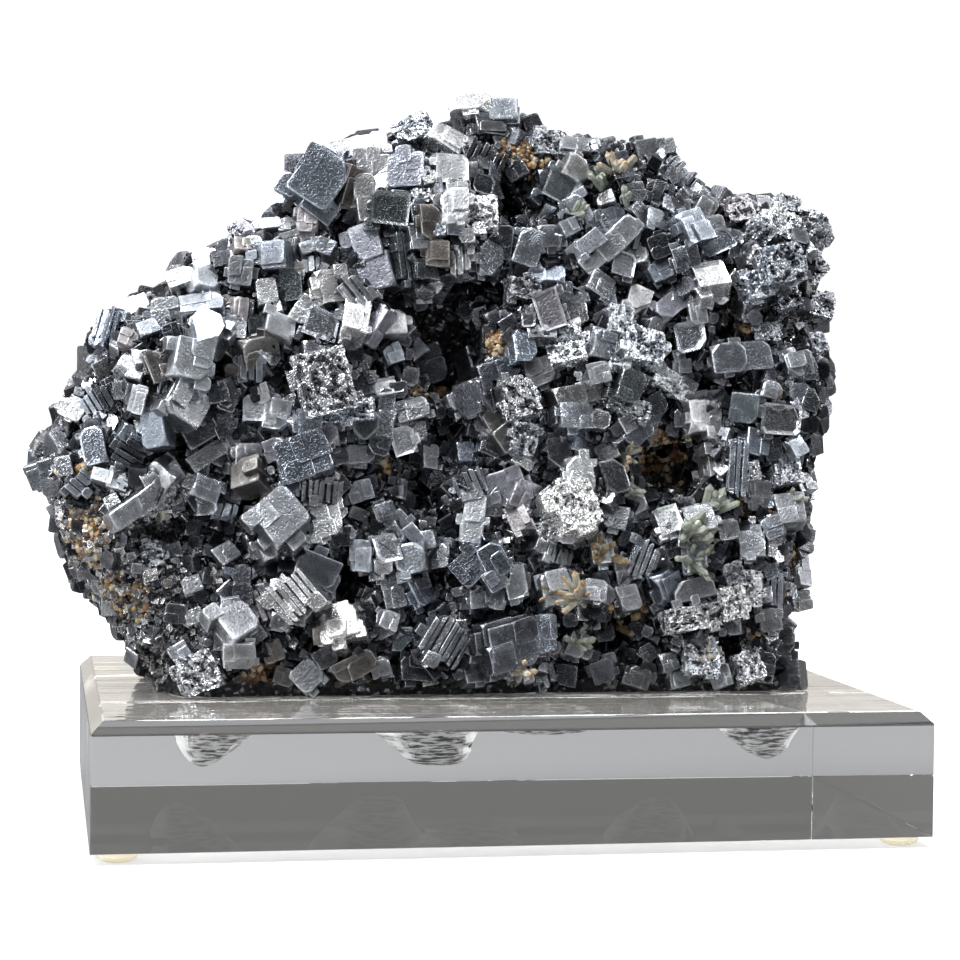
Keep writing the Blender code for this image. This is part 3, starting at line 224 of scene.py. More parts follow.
MIDDLE = crystals(
    (-44.3, 86.7, 5, 5.5, 0, 10, 0, HOPPER, PALE), (-40, 85.5, 5.5, 6.5, -10, 10, 0, CUBE, PALE),
    (-44.3, 73, 6.5, 6.5, 0, 20, 40, CUBE, BROWN), (-45.5, 78, 5.5, 4.5, 0, 5, 0),
    (-33.5, 76.5, 11, 9, 20, 12, -10, CUBE, BLUE), (-32.7, 84, 5, 6, 0, 5, 0, ROUND, STEEL),
    (-29.5, 93, 11, 13, 15, 5, 0, PITTED, STEEL), (-31, 70.5, 11, 4.5, -5, 5, 0, STACK, STEEL),
    (-28.5, 82, 5, 5, 0, 5, 0, ROUND, LAVENDER), (-25.5, 87, 13, 4.5, 5, 5, 0, PITTED, STEEL),
    (-21.7, 94, 3.5, 12, 24, 5, 0, STACK, DARK), (-20.8, 84, 5.5, 6, 0, 5, 0, ROUND, TEAL),
    (-22.5, 77, 6.5, 4, 0, 20, 0, SLAB, LAVENDER), (-16.5, 86.5, 4, 9, -8, 5, 0, BAR, STEEL),
    (-16.5, 91.3, 7, 4, 12, 20, 0, HOPPER, PALE), (-15.5, 104.5, 6, 6, 0, 15, 0, ROUND, PALE),
    (-12.5, 80.5, 5, 6, 15, 5, 0, HOPPER, STEEL), (-10, 97.3, 11, 8.5, 21, -3, 0, SLAB, DARK),
    (-10.5, 87, 7, 4.5, 12, 5, 0), (-1, 88, 5, 5.5, 20, 0, 0), (0.7, 78, 4.5, 4, 5, 10, 0, CUBE, BLUE),
    (3.8, 89.5, 7.5, 8, 10, 5, 35, CUBE, DARK), (6.8, 96.2, 8, 4.5, 17, 0, 0, BAR, BLUE),
    (7.5, 83.3, 5.5, 9, 33, 5, 0, BAR, BROWN), (12.3, 100.3, 5, 6, 5, 8, 0, CUBE, BLUE),
    (12, 89, 6.5, 8, 15, 10, 0, PITTED, STEEL), (12.7, 81.7, 5.5, 6.5, -10, 5, 0, PITTED, STEEL),
    (11.7, 76.6, 5.5, 3.5, -25, 25, 0, SLAB, BRIGHT), (9.5, 72, 8.5, 6, 20, 10, -10, CUBE, LAVENDER),
    (2, 72.5, 7, 6, 25, 0, 0, STACK, STEEL), (16.2, 95, 6, 5.5, 25, 10, 0),
    (22, 100.5, 8, 8.5, 10, 10, 0, PITTED, BRIGHT), (19.8, 78.5, 5.5, 6.5, 10, 0, 15, CUBE, DARK),
    (25, 91, 11.5, 5, 12, 15, 0, BAR, PALE), (23.5, 86, 8, 5.5, 5, 10, 0),
    (25.5, 81, 9.5, 6, -15, 0, 15, CUBE, BLUE), (24.5, 74, 6, 7, 0, 20, 0, CUBE, BRIGHT),
    (32, 73, 5.5, 7.5, 15, 0, 0, ROUND, DARK), (29, 101.5, 5.5, 6, -10, 10, 0),
    (38, 100.5, 8.5, 7.5, -10, 10, 0, PITTED, PALE), (34.8, 93, 6, 7, -20, 5, 20, CUBE, TEAL),
    (35.7, 88, 9, 4, -25, 10, 0, PITTED, PALE), (39, 84.5, 10, 4, 48, 8, 0, BAR, STEEL),
    (44.7, 93.3, 10, 4.5, -28, 15, 0, PITTED, PALE), (49, 103, 6.5, 6.5, 10, 10, 0, HOPPER, STEEL),
    (50.5, 86, 5.5, 7, 5, 10, 0, CUBE, PALE), (60, 99, 12, 6.5, 8, 10, 0, BAR, STEEL),
    (54.5, 77.5, 4.5, 11, 3, 5, 0, STACK, PALE), (59.5, 75.5, 4.5, 13, -3, 5, 0, STACK, STEEL),
    (61.5, 89, 6, 6.5, -5, -5, 0, CUBE, TEAL), (63.5, 80.5, 5, 6, -10, 10, 0, CUBE, BLUE),
    (69, 85.5, 8.5, 6.5, -5, 5, 0, HOPPER, STEEL), (73, 97.5, 6, 5.5, 15, 5, 20),
    (70, 75, 6, 7, 10, 5, 15, PITTED, STEEL), (-48.5, 94.7, 3.5, 4, 10, 5, 0, CUBE, BROWN),
    (-27, 96, 4, 4, 0, 10, 0, ROUND, PALE), (-31, 67.8, 4.5, 3, 5, 10, 0, CUBE, PALE),
    (-38, 85, 3.5, 4, 30, 5, 0, CUBE, DARK), (-42, 90.5, 3, 4, 20, 10, 0, CUBE, PALE),
    (-39, 79, 4.5, 4.5, 20, 5, 0, CUBE, LAVENDER), (-13.5, 91.5, 3.5, 3.5, 10, 5, 0, CUBE, DARK),
    (-9.5, 93.5, 5, 3, 20, 5, 0, STACK, STEEL), (8.5, 93.5, 3, 3, 10, 10, 0, CUBE, PALE),
    (5, 79, 4.5, 3, -20, 5, 0, SLAB, DARK), (-9.5, 82.5, 3.5, 4, 5, 5, 0),
    (-7.5, 77.5, 3.5, 4.5, 0, 5, 0, BAR, STEEL), (13.5, 106.5, 3, 3, 0, 5, 0, HOPPER, STEEL),
    (23, 107, 4.5, 4, 0, 15, 0, CUBE, PALE), (16.5, 103, 6.5, 3, 5, 15, 0, SLAB, STEEL),
    (22, 87.5, 4, 3.5, 20, 10, 0, CUBE, PALE), (34, 99, 5, 4.5, 20, 5, 0, PITTED, STEEL),
    (46.5, 97, 4.5, 3, 5, 10, 0, SLAB, STEEL), (34, 96.8, 5, 3.5, -5, 15, 0, ROUND, PALE),
    (25, 78.5, 4.5, 3, -20, 5, 0, SLAB, DARK), (54.5, 86, 3, 6.5, 0, 5, 0, BAR, STEEL),
    (52, 90.5, 8.5, 3, 10, 5, 0, SLAB, STEEL), (47, 86, 3, 4, 0, 5, 0, CUBE, LAVENDER),
    (62.5, 75, 4, 4, 10, 5, 0, PITTED, STEEL), (63.5, 68, 3.5, 3.5, 0, 5, 0),
    (72.5, 88, 4.5, 4.5, 20, 5, 20, ROUND, DARK), (71, 99, 3.5, 3.5, 25, 10, 10, CUBE, PALE),
    (75, 96, 4, 3.5, 10, 5, 20, CUBE, DARK), (-26.5, 77.5, 4, 4.5, 15, 10, 0, CUBE, DARK),
    (-18, 79.5, 4.5, 4, -15, 5, 0, CUBE, DARK), (-37, 88, 4, 3.5, 20, 5, 0),
    (-50, 88.5, 4, 4, -15, 5, 0, CUBE, DARK), (29.5, 95.5, 4.5, 4.5, 15, 10, 0), (41.5, 97, 4, 3.5, -15, 10, 0),
    (41.5, 89, 4.5, 4, 25, 10, 0, CUBE, DARK), (29, 85.5, 4, 4, -10, 5, 0, HOPPER, STEEL),
    (31.5, 78.5, 4.5, 4, 20, 5, 0), (17.5, 84.5, 4.5, 5, 10, 5, 0, CUBE, DARK), (67, 92, 4.5, 4, -15, 5, 10),
    (67.5, 79.5, 4, 4.5, 15, 5, 10, CUBE, DARK), (76, 81, 4.5, 5, 10, 5, 25, CUBE, DARK),
    (75.5, 90, 4, 4.5, -20, 5, 25, CUBE, DARK), (-4.5, 84, 4, 4.5, 10, 0, 0, CUBE, DARK),
    (-15.5, 98.5, 4, 4, 25, 10, 0), (76.5, 102, 4.5, 4.5, 15, 10, 20, PITTED, STEEL),
    (66, 104.5, 5, 4.5, -10, 10, 5, PITTED, STEEL),
)
LOWER = crystals(
    (-64.2, 56.7, 4.5, 5, 10, 5, 0, PITTED, STEEL), (-54, 31.8, 8, 8, 20, 8, -10, PITTED, STEEL),
    (-47.7, 41.8, 7.5, 7.5, 40, 12, 10), (-47, 36.5, 6.5, 5.5, 0, -15, 10, CUBE, PALE),
    (-45.8, 50, 4.5, 8, 0, 5, -10, BAR, DARK), (-41.5, 47, 4.5, 9, 20, 5, 0, STACK, PINK),
    (-38.5, 63.5, 9.5, 9.5, 42, 8, 10), (-40.3, 57.8, 6.5, 5, 25, 20, 0, SLAB, PALE),
    (-34.5, 48.5, 9.5, 9, 40, 12, 0, STACK, BRIGHT), (-31, 54, 9, 6, -25, 0, 15, CUBE, BLUE),
    (-28.5, 63.5, 6, 6.5, 10, 20, 0, CUBE, BRIGHT), (-32.3, 31.3, 6, 5.5, 45, 15, 0, CUBE, PALE),
    (-24.3, 42, 7, 7, 5, 15, -25, CUBE, BRIGHT), (-20.5, 47.5, 5.5, 6.5, -20, 0, 15, CUBE, DARK),
    (-21, 57, 4.5, 6.5, 0, 5, 0), (-22.3, 33, 9, 4.5, 27, 8, 0, SLAB, BROWN),
    (-16.2, 58, 5, 6, 15, 10, 0, HOPPER, STEEL), (-14.8, 48.5, 4.5, 6.5, 10, 5, 10),
    (-13.5, 39.3, 4.5, 5, 0, 5, 0, ROUND, TEAL), (-11.5, 62.5, 3.5, 8, 40, 5, 0, BAR, STEEL),
    (-10.5, 32.3, 7, 5, 0, 5, 0, CUBE, DARK), (-10.3, 56, 6.5, 6.5, 10, 5, 0, ROUND, STEEL),
    (-9.7, 49, 6, 6.5, 25, 0, 20, CUBE, BLUE), (-4.3, 56, 5.5, 5.5, 0, 20, 45, CUBE, DARK),
    (-3.5, 38.7, 9.5, 9, -30, 5, 0, STACK, STEEL), (1.7, 53.5, 6, 6.5, 40, 5, 0, CUBE, BLUE),
    (2.7, 64, 5, 10, -10, 10, 0, BAR, PALE), (7.2, 68.5, 4, 9, -40, 10, 0, BAR, PALE),
    (6.7, 55.5, 5.5, 7, 30, 5, 0, SLAB, BLUE), (3.5, 47.7, 7, 4, 5, 0, 0, SLAB, STEEL),
    (9.3, 37.8, 12, 9.5, 12, -5, 10, CUBE, DARK), (12.5, 64, 4.5, 6, 20, 15, 0, CUBE, PINK),
    (12.7, 69.8, 7, 5.5, -20, 5, 10, CUBE, LAVENDER), (11.7, 51, 4.5, 7, 10, 8, 0, HOPPER, PALE),
    (12, 32, 4.5, 5, 12, 8, 0, STACK, PALE), (17.3, 39.5, 4.5, 8, 5, -5, 0, SLAB, BLUE),
    (17.3, 31, 5, 5, 10, 5, 0, STACK, STEEL), (19, 57.3, 10, 4.5, -22, 10, 0, STACK, STEEL),
    (19.5, 49, 6.5, 7, 15, 15, 0, CUBE, PALE), (23.5, 66.5, 9, 10, 20, 12, 0, PITTED, BRIGHT),
    (24.5, 38, 4, 6, -20, 12, 0, CUBE, PALE), (28.5, 48.5, 5, 5, -10, 15, 0),
    (30, 57.5, 4.5, 6.5, 5, 10, 0, CUBE, PALE), (39, 55.5, 8, 8, -20, 10, 0, STACK, STEEL),
    (44.5, 63.5, 5.5, 6, 20, 15, 0, HOPPER, BRIGHT), (43.5, 50.5, 6, 6.5, 20, -8, 10, CUBE, BLUE),
    (50.5, 49, 9, 4.5, 15, 15, 0, ROUND, LAVENDER), (51, 43.3, 14.5, 5, 10, 10, 0, PITTED, PALE),
    (52, 64, 6, 6, 10, 12, 0), (50.5, 56, 5, 4.5, 5, 10, 0), (52, 34.8, 7.5, 8, 0, 5, 0, PITTED, STEEL),
    (58.5, 46.5, 5.5, 7, 10, 5, 0, PITTED, PALE), (62.7, 31.3, 5.5, 6.5, 20, 15, 0, PITTED, PALE),
    (63, 50, 5.5, 7.5, 0, 5, 0, PITTED, PALE), (63.5, 58.5, 5.5, 5.5, 0, 8, 0), (64, 69.5, 5, 6.5, 0, 8, 0),
    (68.5, 49, 4.5, 8, 0, 5, 0, STACK, LAVENDER), (71.5, 66, 6, 7, 5, 10, 15), (73, 53.5, 5, 8, 0, 10, 15),
    (72, 30.8, 7, 6.5, 0, 0, -25, CUBE, DARK), (70.5, 38, 5.5, 6, 0, 5, 0, CUBE, DARK),
    (-60.5, 58, 3.5, 3, 20, 10, 0, CUBE, BLUE), (-65, 52.5, 3, 2.5, 15, 20, 0, CUBE, BRIGHT),
    (-73, 68, 3, 2.5, 30, 20, 0, CUBE, BRIGHT), (-56, 44, 3.5, 3, 20, 20, 0, CUBE, PALE),
    (-48.5, 46.5, 4, 3.5, 10, 10, 0), (-36, 46, 3.5, 3.5, 30, 20, 0, CUBE, BRIGHT),
    (-38.5, 42, 4.5, 2, -35, 20, 0, SLAB, BRIGHT), (-29.2, 61, 3, 3, 10, 10, 0, CUBE, PALE),
    (-32, 68, 4, 3, 5, 15, 0, CUBE, PINK), (-28.8, 41.5, 3, 6.5, 5, 0, -35, SLAB, BROWN),
    (-20.5, 54, 4, 2.8, 10, 10, 0, SLAB, STEEL), (-7.5, 60, 4, 4, 15, 5, 0), (2, 70, 4, 3.5, 10, 5, 0),
    (7, 51.3, 4.5, 4.5, 35, 5, 0, CUBE, BLUE), (7.5, 47, 4, 4, -15, 5, 0), (11, 48, 3.5, 3.5, 10, 10, 0),
    (-7, 30.5, 3, 2.5, 10, 15, 0, CUBE, BRIGHT), (38.5, 67.5, 3.5, 3.5, 20, 10, 0),
    (34.5, 53, 3, 6, 10, 5, 0, CUBE, LAVENDER), (59, 53, 4.5, 4.5, 20, 10, 0, PITTED, STEEL),
    (44.5, 34, 4, 4, 15, 5, 0), (40.5, 36, 3.5, 3.5, 30, 5, 0, CUBE, DARK),
    (47.5, 30, 4, 3.5, 10, 10, 0, CUBE, PALE), (66.5, 48, 3, 3.5, 0, 10, 0, CUBE, LAVENDER),
    (67.5, 53, 3, 3, 20, 10, 0, CUBE, BLUE), (62.2, 36.8, 2.5, 2.5, 45, 20, 0, CUBE, BRIGHT),
    (67, 59, 2.5, 5, -5, 10, 0, SLAB, BRIGHT), (-56.5, 50.5, 4, 3.5, 20, 10, 0),
    (-60, 45, 4.5, 4, -10, 5, 0, CUBE, DARK), (-59, 37, 4, 3.5, 30, 5, 0), (-55, 62, 4.5, 4, 10, 5, 0, CUBE, DARK),
    (-50, 57, 4.5, 4, 35, 5, 0), (-50, 66, 5, 4, -20, 5, 0, STACK, STEEL),
    (-40, 36.5, 4.5, 4.5, 20, 5, 0, CUBE, BROWN), (-37.5, 31, 4, 4, -15, 10, 0, CUBE, BROWN),
    (-29, 35.5, 4.5, 4, 30, 5, 0, CUBE, DARK), (-26, 60.5, 4, 4, 5, 5, 0, CUBE, DARK), (-17, 66, 4.5, 4, 20, 5, 0),
    (-14, 70.5, 4.5, 4.5, -10, 5, 0, HOPPER, STEEL), (-21.5, 70.5, 5, 4.5, 15, 5, 0),
    (-26, 71.5, 4, 4, 40, 5, 0, CUBE, DARK), (-17, 33.5, 4, 4, 15, 5, 0), (-16, 43, 4, 4, -20, 5, 0),
    (2.5, 31.5, 5, 4.5, 10, 5, 0), (23, 31, 4.5, 4.5, -10, 5, 0, CUBE, DARK),
    (31, 32.5, 5, 5, 20, 5, 0, CUBE, DARK), (38.5, 30.5, 5, 4.5, -20, 5, 0),
    (30.5, 40, 4.5, 4.5, 10, 5, 0, CUBE, DARK), (36, 47, 4.5, 5, 15, 5, 0), (33.5, 64.5, 5, 5, -15, 5, 0),
    (17.5, 62, 4, 4, 20, 10, 0, PITTED, PALE), (57.5, 62, 4.5, 4.5, 10, 5, 0),
    (45.5, 42, 4.5, 5, -20, 5, 0, CUBE, DARK), (57, 30.5, 4.5, 4.5, 15, 5, 0), (67, 43, 4.5, 5, 10, 5, 0),
    (66.5, 33, 4.5, 5, -15, 5, 0, CUBE, DARK), (68, 62.5, 4.5, 4.5, 20, 5, 10),
    (74, 47, 4.5, 4.5, 10, 10, 20, CUBE, PALE), (74.5, 60, 4, 5, -10, 10, 20), (74, 72, 4.5, 4.5, 15, 5, 20),
    (72, 80, 4.5, 4.5, 30, 5, 20),
)
FRONT_GROUPS = {
    "crystals_left_shoulder": LEFT_SHOULDER,
    "crystals_top_left": TOP_LEFT,
    "crystals_crest": CREST,
    "crystals_top_right": TOP_RIGHT,
    "crystals_middle": MIDDLE,
    "crystals_lower": LOWER,
}

# The matrix in outline, seen from the front: x, z, going round from the lower left
OUTLINE = (
    (-63, 18), (-63.5, 30), (-69.5, 38.5), (-75, 46.5), (-79.5, 55), (-83.5, 63.5), (-86.5, 71.5), (-87.5, 73.8),
    (-85.5, 78.5), (-82.5, 85), (-77.5, 93), (-74, 99.5), (-74.5, 104), (-70.5, 106.5), (-64, 109.5),
    (-58.5, 113.5), (-55, 118), (-47.5, 119.5), (-44.5, 124), (-36.5, 125), (-32, 131), (-31.5, 139), (-24.5, 141),
    (-17.5, 144), (-12, 143.5), (-9, 147), (-1.5, 149), (3.5, 151.5), (10.5, 151), (14.5, 147), (22, 144.5),
    (30, 142), (35, 145), (40, 145), (46, 141.5), (50.5, 137), (57, 134.5), (66, 133), (75, 131.5), (79.5, 127),
    (80.5, 122), (79.5, 114), (81, 103), (82, 91), (79.5, 78), (77.5, 64), (76, 54), (74, 44), (73.5, 37), (75, 30),
    (74.5, 18),
)
# Where the front and back of the matrix lie, by height: z, front y, back y
MATRIX_DEPTHS = (
    (18.0, -27.0, 24.0), (45.0, -26.0, 23.0), (70.0, -24.0, 21.0), (100.0, -22.0, 17.0), (125.0, -18.0, 12.0),
    (155.0, -11.0, 6.0),
)
# Hollows in the front of the matrix: x, z, half width, half height, depth
HOLLOWS = (
    (-3, 101, 8, 13.5, 17), (3, 112.5, 7, 4, 11), (45.5, 76, 8.5, 7, 13), (58.5, 110, 4.5, 9, 10),
    (55.5, 92.5, 6.5, 3.2, 9), (44.5, 101, 4, 4, 7), (-62, 61, 9, 5.5, 9), (-51.5, 95.5, 4, 5, 8),
    (-25, 51.5, 4.6, 6.5, 10), (-9, 69.5, 5.5, 6, 9), (11.5, 132, 6.5, 6.5, 8), (57.5, 38.5, 4.8, 4.6, 8),
    (-60.5, 77, 5, 4.5, 6), (-37.5, 94, 5, 6, 7), (-3, 81, 5, 6, 7), (35, 40.5, 6.5, 6, 8), (-43, 68.5, 4, 4.5, 6),
    (-25.5, 124, 3, 7, 6), (25, 82, 3, 4, 4), (16.5, 89, 3.5, 6, 5), (-12, 109, 3.5, 5, 6),
)
# Swells of the front, which carry the clusters of crystals: x, z, half width, half height, rise
SWELLS = (
    (-5, 128, 14, 13, 5), (-31, 133, 9, 8, 3), (-60, 95, 15, 14, 4), (-30, 90, 9, 13, 4), (-36, 75, 10, 9, 4),
    (-64, 70, 11, 8, 3), (9, 84, 9, 9, 3.5), (15, 103, 8, 10, 3), (30, 90, 14, 10, 4), (33, 104, 10, 7, 2.5),
    (69, 118, 11, 11, 4.5), (52, 112, 5, 9, 3.5), (57.5, 76, 7, 10, 4.5), (71, 87, 9, 9, 2.5), (50, 61, 9, 8, 4.5),
    (-38, 63, 8, 8, 4.5), (-34, 48, 8, 8, 4), (-48, 40, 8, 8, 3.5), (-23, 41, 7, 7, 4), (4, 54, 10, 8, 4),
    (-3, 38, 8, 7, 4), (11, 38, 9, 7, 4.5), (28, 48, 9, 7, 4.5), (24, 68, 8, 8, 3), (52, 43, 9, 7, 3.5),
    (70, 58, 8, 13, 2.5), (-12, 58, 8, 8, 2.5), (28, 122, 10, 9, 2.5), (31, 139, 10, 7, 2.5),
    (-46, 119, 10, 7, 2.5), (-22, 106, 7, 9, 3), (47, 122, 7, 8, 2),
)
# Pockets ground in the block, the first three for the points of the specimen:
# x, y, mouth radius, floor radius, depth, lean of the tip
POCKETS = (
    (-48.6, -12, 12.5, 0.6, 13.8, -5.9), (-9.6, -6, 14.5, 5, 14.4, 4.6), (62, -10, 14, 0.6, 14, 3.9),
    (17, -8, 15, 9, 7.6, 0),
)

# Zones of the front: x, z, half width, half height, share. First the black cavities, bare of crystals
CAVITIES = (
    (-3, 101, 8.5, 14, 1.3), (57.5, 113, 3.5, 6, 1.2), (-50, 97, 3, 4, 1), (-62.5, 61, 8, 5, 0.8),
    (-25, 51.5, 4, 6, 1.2), (45, 101, 3, 3, 1.1), (57.5, 92.5, 5, 2.5, 1.1), (45.5, 76, 7.5, 6.5, 1),
    (57.5, 38, 4, 4, 1.1), (-45, 112, 2.5, 4, 1), (16, 90, 2.5, 4, 1),
)
RUST = (
    (-83, 74.5, 2.5, 2, 0.9), (-79, 74, 2, 1.8, 0.9), (-77, 72.5, 2, 2, 0.9), (-78.5, 86, 2, 2, 0.8),
    (-59, 114.5, 2.2, 2.5, 0.9), (-62, 110.5, 2, 1.5, 0.8), (-49.5, 120, 2.5, 1.5, 0.8), (-31, 122.3, 2, 1.5, 0.9),
    (14, 141.5, 6.5, 6, 0.9), (61, 105.5, 4, 2.5, 0.9), (-20, 75, 7, 2, 0.8), (7, 101.5, 2.2, 3.5, 1),
    (-5.5, 102, 1.8, 1.8, 0.9), (-7, 91.5, 6, 1.8, 0.8), (-16, 101, 1.6, 2, 0.9), (66, 89.5, 3, 3, 1),
    (74, 95, 2, 6, 0.9), (78.5, 89, 2, 2, 0.8), (69.5, 64.5, 2, 3, 1), (-78, 61, 4.5, 9, 1), (-71.5, 48, 7, 6, 1),
    (-52, 53, 2.5, 2.5, 0.8), (-41.5, 32, 6.5, 5, 1), (-22, 33.5, 5.5, 3, 0.8), (70, 44.5, 4.5, 6, 0.8),
    (41.5, 84, 4.5, 3.5, 0.9), (45.5, 76.5, 8, 7, 0.5), (61, 42, 5, 4, 0.6), (36, 46, 6, 3.5, 0.6),
    (75, 55, 3, 5, 0.7), (63, 68, 5, 3, 0.6),
)
SUGAR = (
    (-73, 51, 12, 11, 1), (-52.5, 53.5, 5, 9, 1), (-61, 103, 5.5, 4.5, 1), (-39, 94.5, 4.5, 5, 1),
    (70.5, 119, 10, 15.5, 1), (25, 67.5, 7, 6, 1), (36, 103.5, 6.5, 7, 1), (66, 45, 11, 10, 0.9),
    (46, 69, 9, 6, 0.7), (-58, 40, 9, 8, 0.9),
)
# Looks of small crystals and grains, from one end of chance to the other: red, green, blue, roughness. The
# near-black ones of GREY_TONES and GLINT_TONES are painted shade for the gaps between the large crystals, and the
# brightest ones of GLINT_TONES are painted glints.
GREY_TONES = (
    (0.06, 0.064, 0.075, 0.24), (0.010, 0.011, 0.013, 0.20), (0.18, 0.19, 0.215, 0.26), (0.014, 0.015, 0.019, 0.20),
    (0.28, 0.29, 0.32, 0.26), (0.020, 0.022, 0.028, 0.22), (0.50, 0.51, 0.54, 0.22), (0.03, 0.031, 0.035, 0.22),
)
GLINT_TONES = (
    (0.010, 0.010, 0.011, 0.20), (0.26, 0.27, 0.29, 0.18), (0.014, 0.014, 0.016, 0.20), (0.60, 0.61, 0.63, 0.16),
    (0.010, 0.010, 0.011, 0.20), (0.40, 0.41, 0.44, 0.20), (0.02, 0.02, 0.021, 0.22), (0.75, 0.76, 0.78, 0.14),
)
SUGAR_TONES = (
    (0.10, 0.10, 0.11, 0.24), (0.42, 0.43, 0.45, 0.24), (0.18, 0.18, 0.19, 0.24), (0.66, 0.66, 0.67, 0.22),
    (0.05, 0.05, 0.055, 0.22), (0.50, 0.49, 0.48, 0.26), (0.24, 0.25, 0.27, 0.24), (0.80, 0.80, 0.80, 0.20),
)
OCHRE_TONES = (
    (0.09, 0.05, 0.028, 0.5), (0.36, 0.20, 0.085, 0.5), (0.54, 0.37, 0.19, 0.5), (0.70, 0.60, 0.43, 0.5),
    (0.18, 0.10, 0.048, 0.5),
)


@dataclass(frozen=True)
class Spray:
    """A cluster of quartz prisms that fan out from one place."""

    x: float
    z: float
    count: int
    length: float
    thickness: float
    spread: float
    lean: float
    colour: tuple[float, float, float]


GREENISH, CREAM, AMBER = (0.52, 0.56, 0.48), (0.80, 0.77, 0.66), (0.56, 0.43, 0.25)
SPRAYS = (
    Spray(33, 138.5, 9, 5.0, 1.5, 80, 0, CREAM), Spray(29, 136, 5, 5.0, 1.4, 30, -60, GREENISH),
    Spray(24, 129, 6, 4.5, 1.4, 60, 40, GREENISH), Spray(34, 132, 4, 4.5, 1.3, 40, 0, GREENISH),
    Spray(35, 78.5, 14, 4.0, 1.0, 180, 0, CREAM), Spray(-63, 65.5, 5, 3.2, 1.0, 90, 20, CREAM),
    Spray(50, 62, 10, 4.5, 2.0, 120, -20, GREENISH), Spray(54, 67, 7, 4.5, 2.0, 100, 30, GREENISH),
    Spray(50, 56, 16, 4.8, 1.2, 180, 0, GREENISH), Spray(37, 70.5, 6, 3.2, 1.1, 120, 0, GREENISH),
    Spray(30, 57, 12, 5.5, 1.3, 150, 0, AMBER), Spray(26, 48, 12, 6.5, 1.3, 65, -70, CREAM),
    Spray(20, 49, 6, 4.0, 1.0, 60, -90, AMBER), Spray(24, 38, 8, 4.5, 1.2, 140, 0, GREENISH),
    Spray(35.5, 42, 6, 4.0, 1.4, 120, 0, AMBER), Spray(72, 68, 5, 3.5, 1.2, 120, 0, GREENISH),
    Spray(12, 32.5, 7, 4.5, 1.1, 90, 20, CREAM), Spray(53, 35, 10, 2.8, 1.6, 180, 0, CREAM),
)


def linked(name: str, data: bpy.types.ID) -> Piece:
    """A new object in the scene."""
    obj = bpy.data.objects.new(name, data)
    bpy.context.scene.collection.objects.link(obj)
    return obj


def applied(obj: Piece) -> bpy.types.Mesh:
    """The mesh that an object's modifiers make of it. They are then removed."""
    mesh = bpy.data.meshes.new_from_object(obj.evaluated_get(bpy.context.evaluated_depsgraph_get()))
    obj.modifiers.clear()
    return mesh


def read(mesh: bpy.types.Mesh, what: str) -> np.ndarray:
    """A vector of each point of a mesh: its co or its normal."""
    values = np.empty(len(mesh.vertices) * 3, np.float32)
    mesh.vertices.foreach_get(what, values)
    return values.reshape(-1, 3)


def store(mesh: bpy.types.Mesh, name: str, values: object, kind: str = "FLOAT", domain: str = "POINT") -> None:
    """Stores an attribute of a mesh."""
    key = {"FLOAT": "value", "FLOAT_VECTOR": "vector", "FLOAT_COLOR": "color"}[kind]
    mesh.attributes.new(name, kind, domain).data.foreach_set(key, np.array(values, np.float32).ravel())


def cut_below(bm: Shape, level: float) -> None:
    """Cuts a closed shape flat at a level and closes it again."""
    everything = bm.verts[:] + bm.edges[:] + bm.faces[:]
    cut = bmesh.ops.bisect_plane(bm, geom=everything, plane_co=(0, 0, level), plane_no=(0, 0, -1), clear_outer=True)
    bmesh.ops.holes_fill(bm, edges=[part for part in cut["geom_cut"] if isinstance(part, bmesh.types.BMEdge)])


def unit_cube(*sides: float) -> Shape:
    """A cube of one unit, or a box of three sides."""
    bm = bmesh.new()
    bmesh.ops.create_cube(bm, size=1.0)
    if sides:
        bm.transform(Matrix.Diagonal((*sides, 1.0)))
    return bm


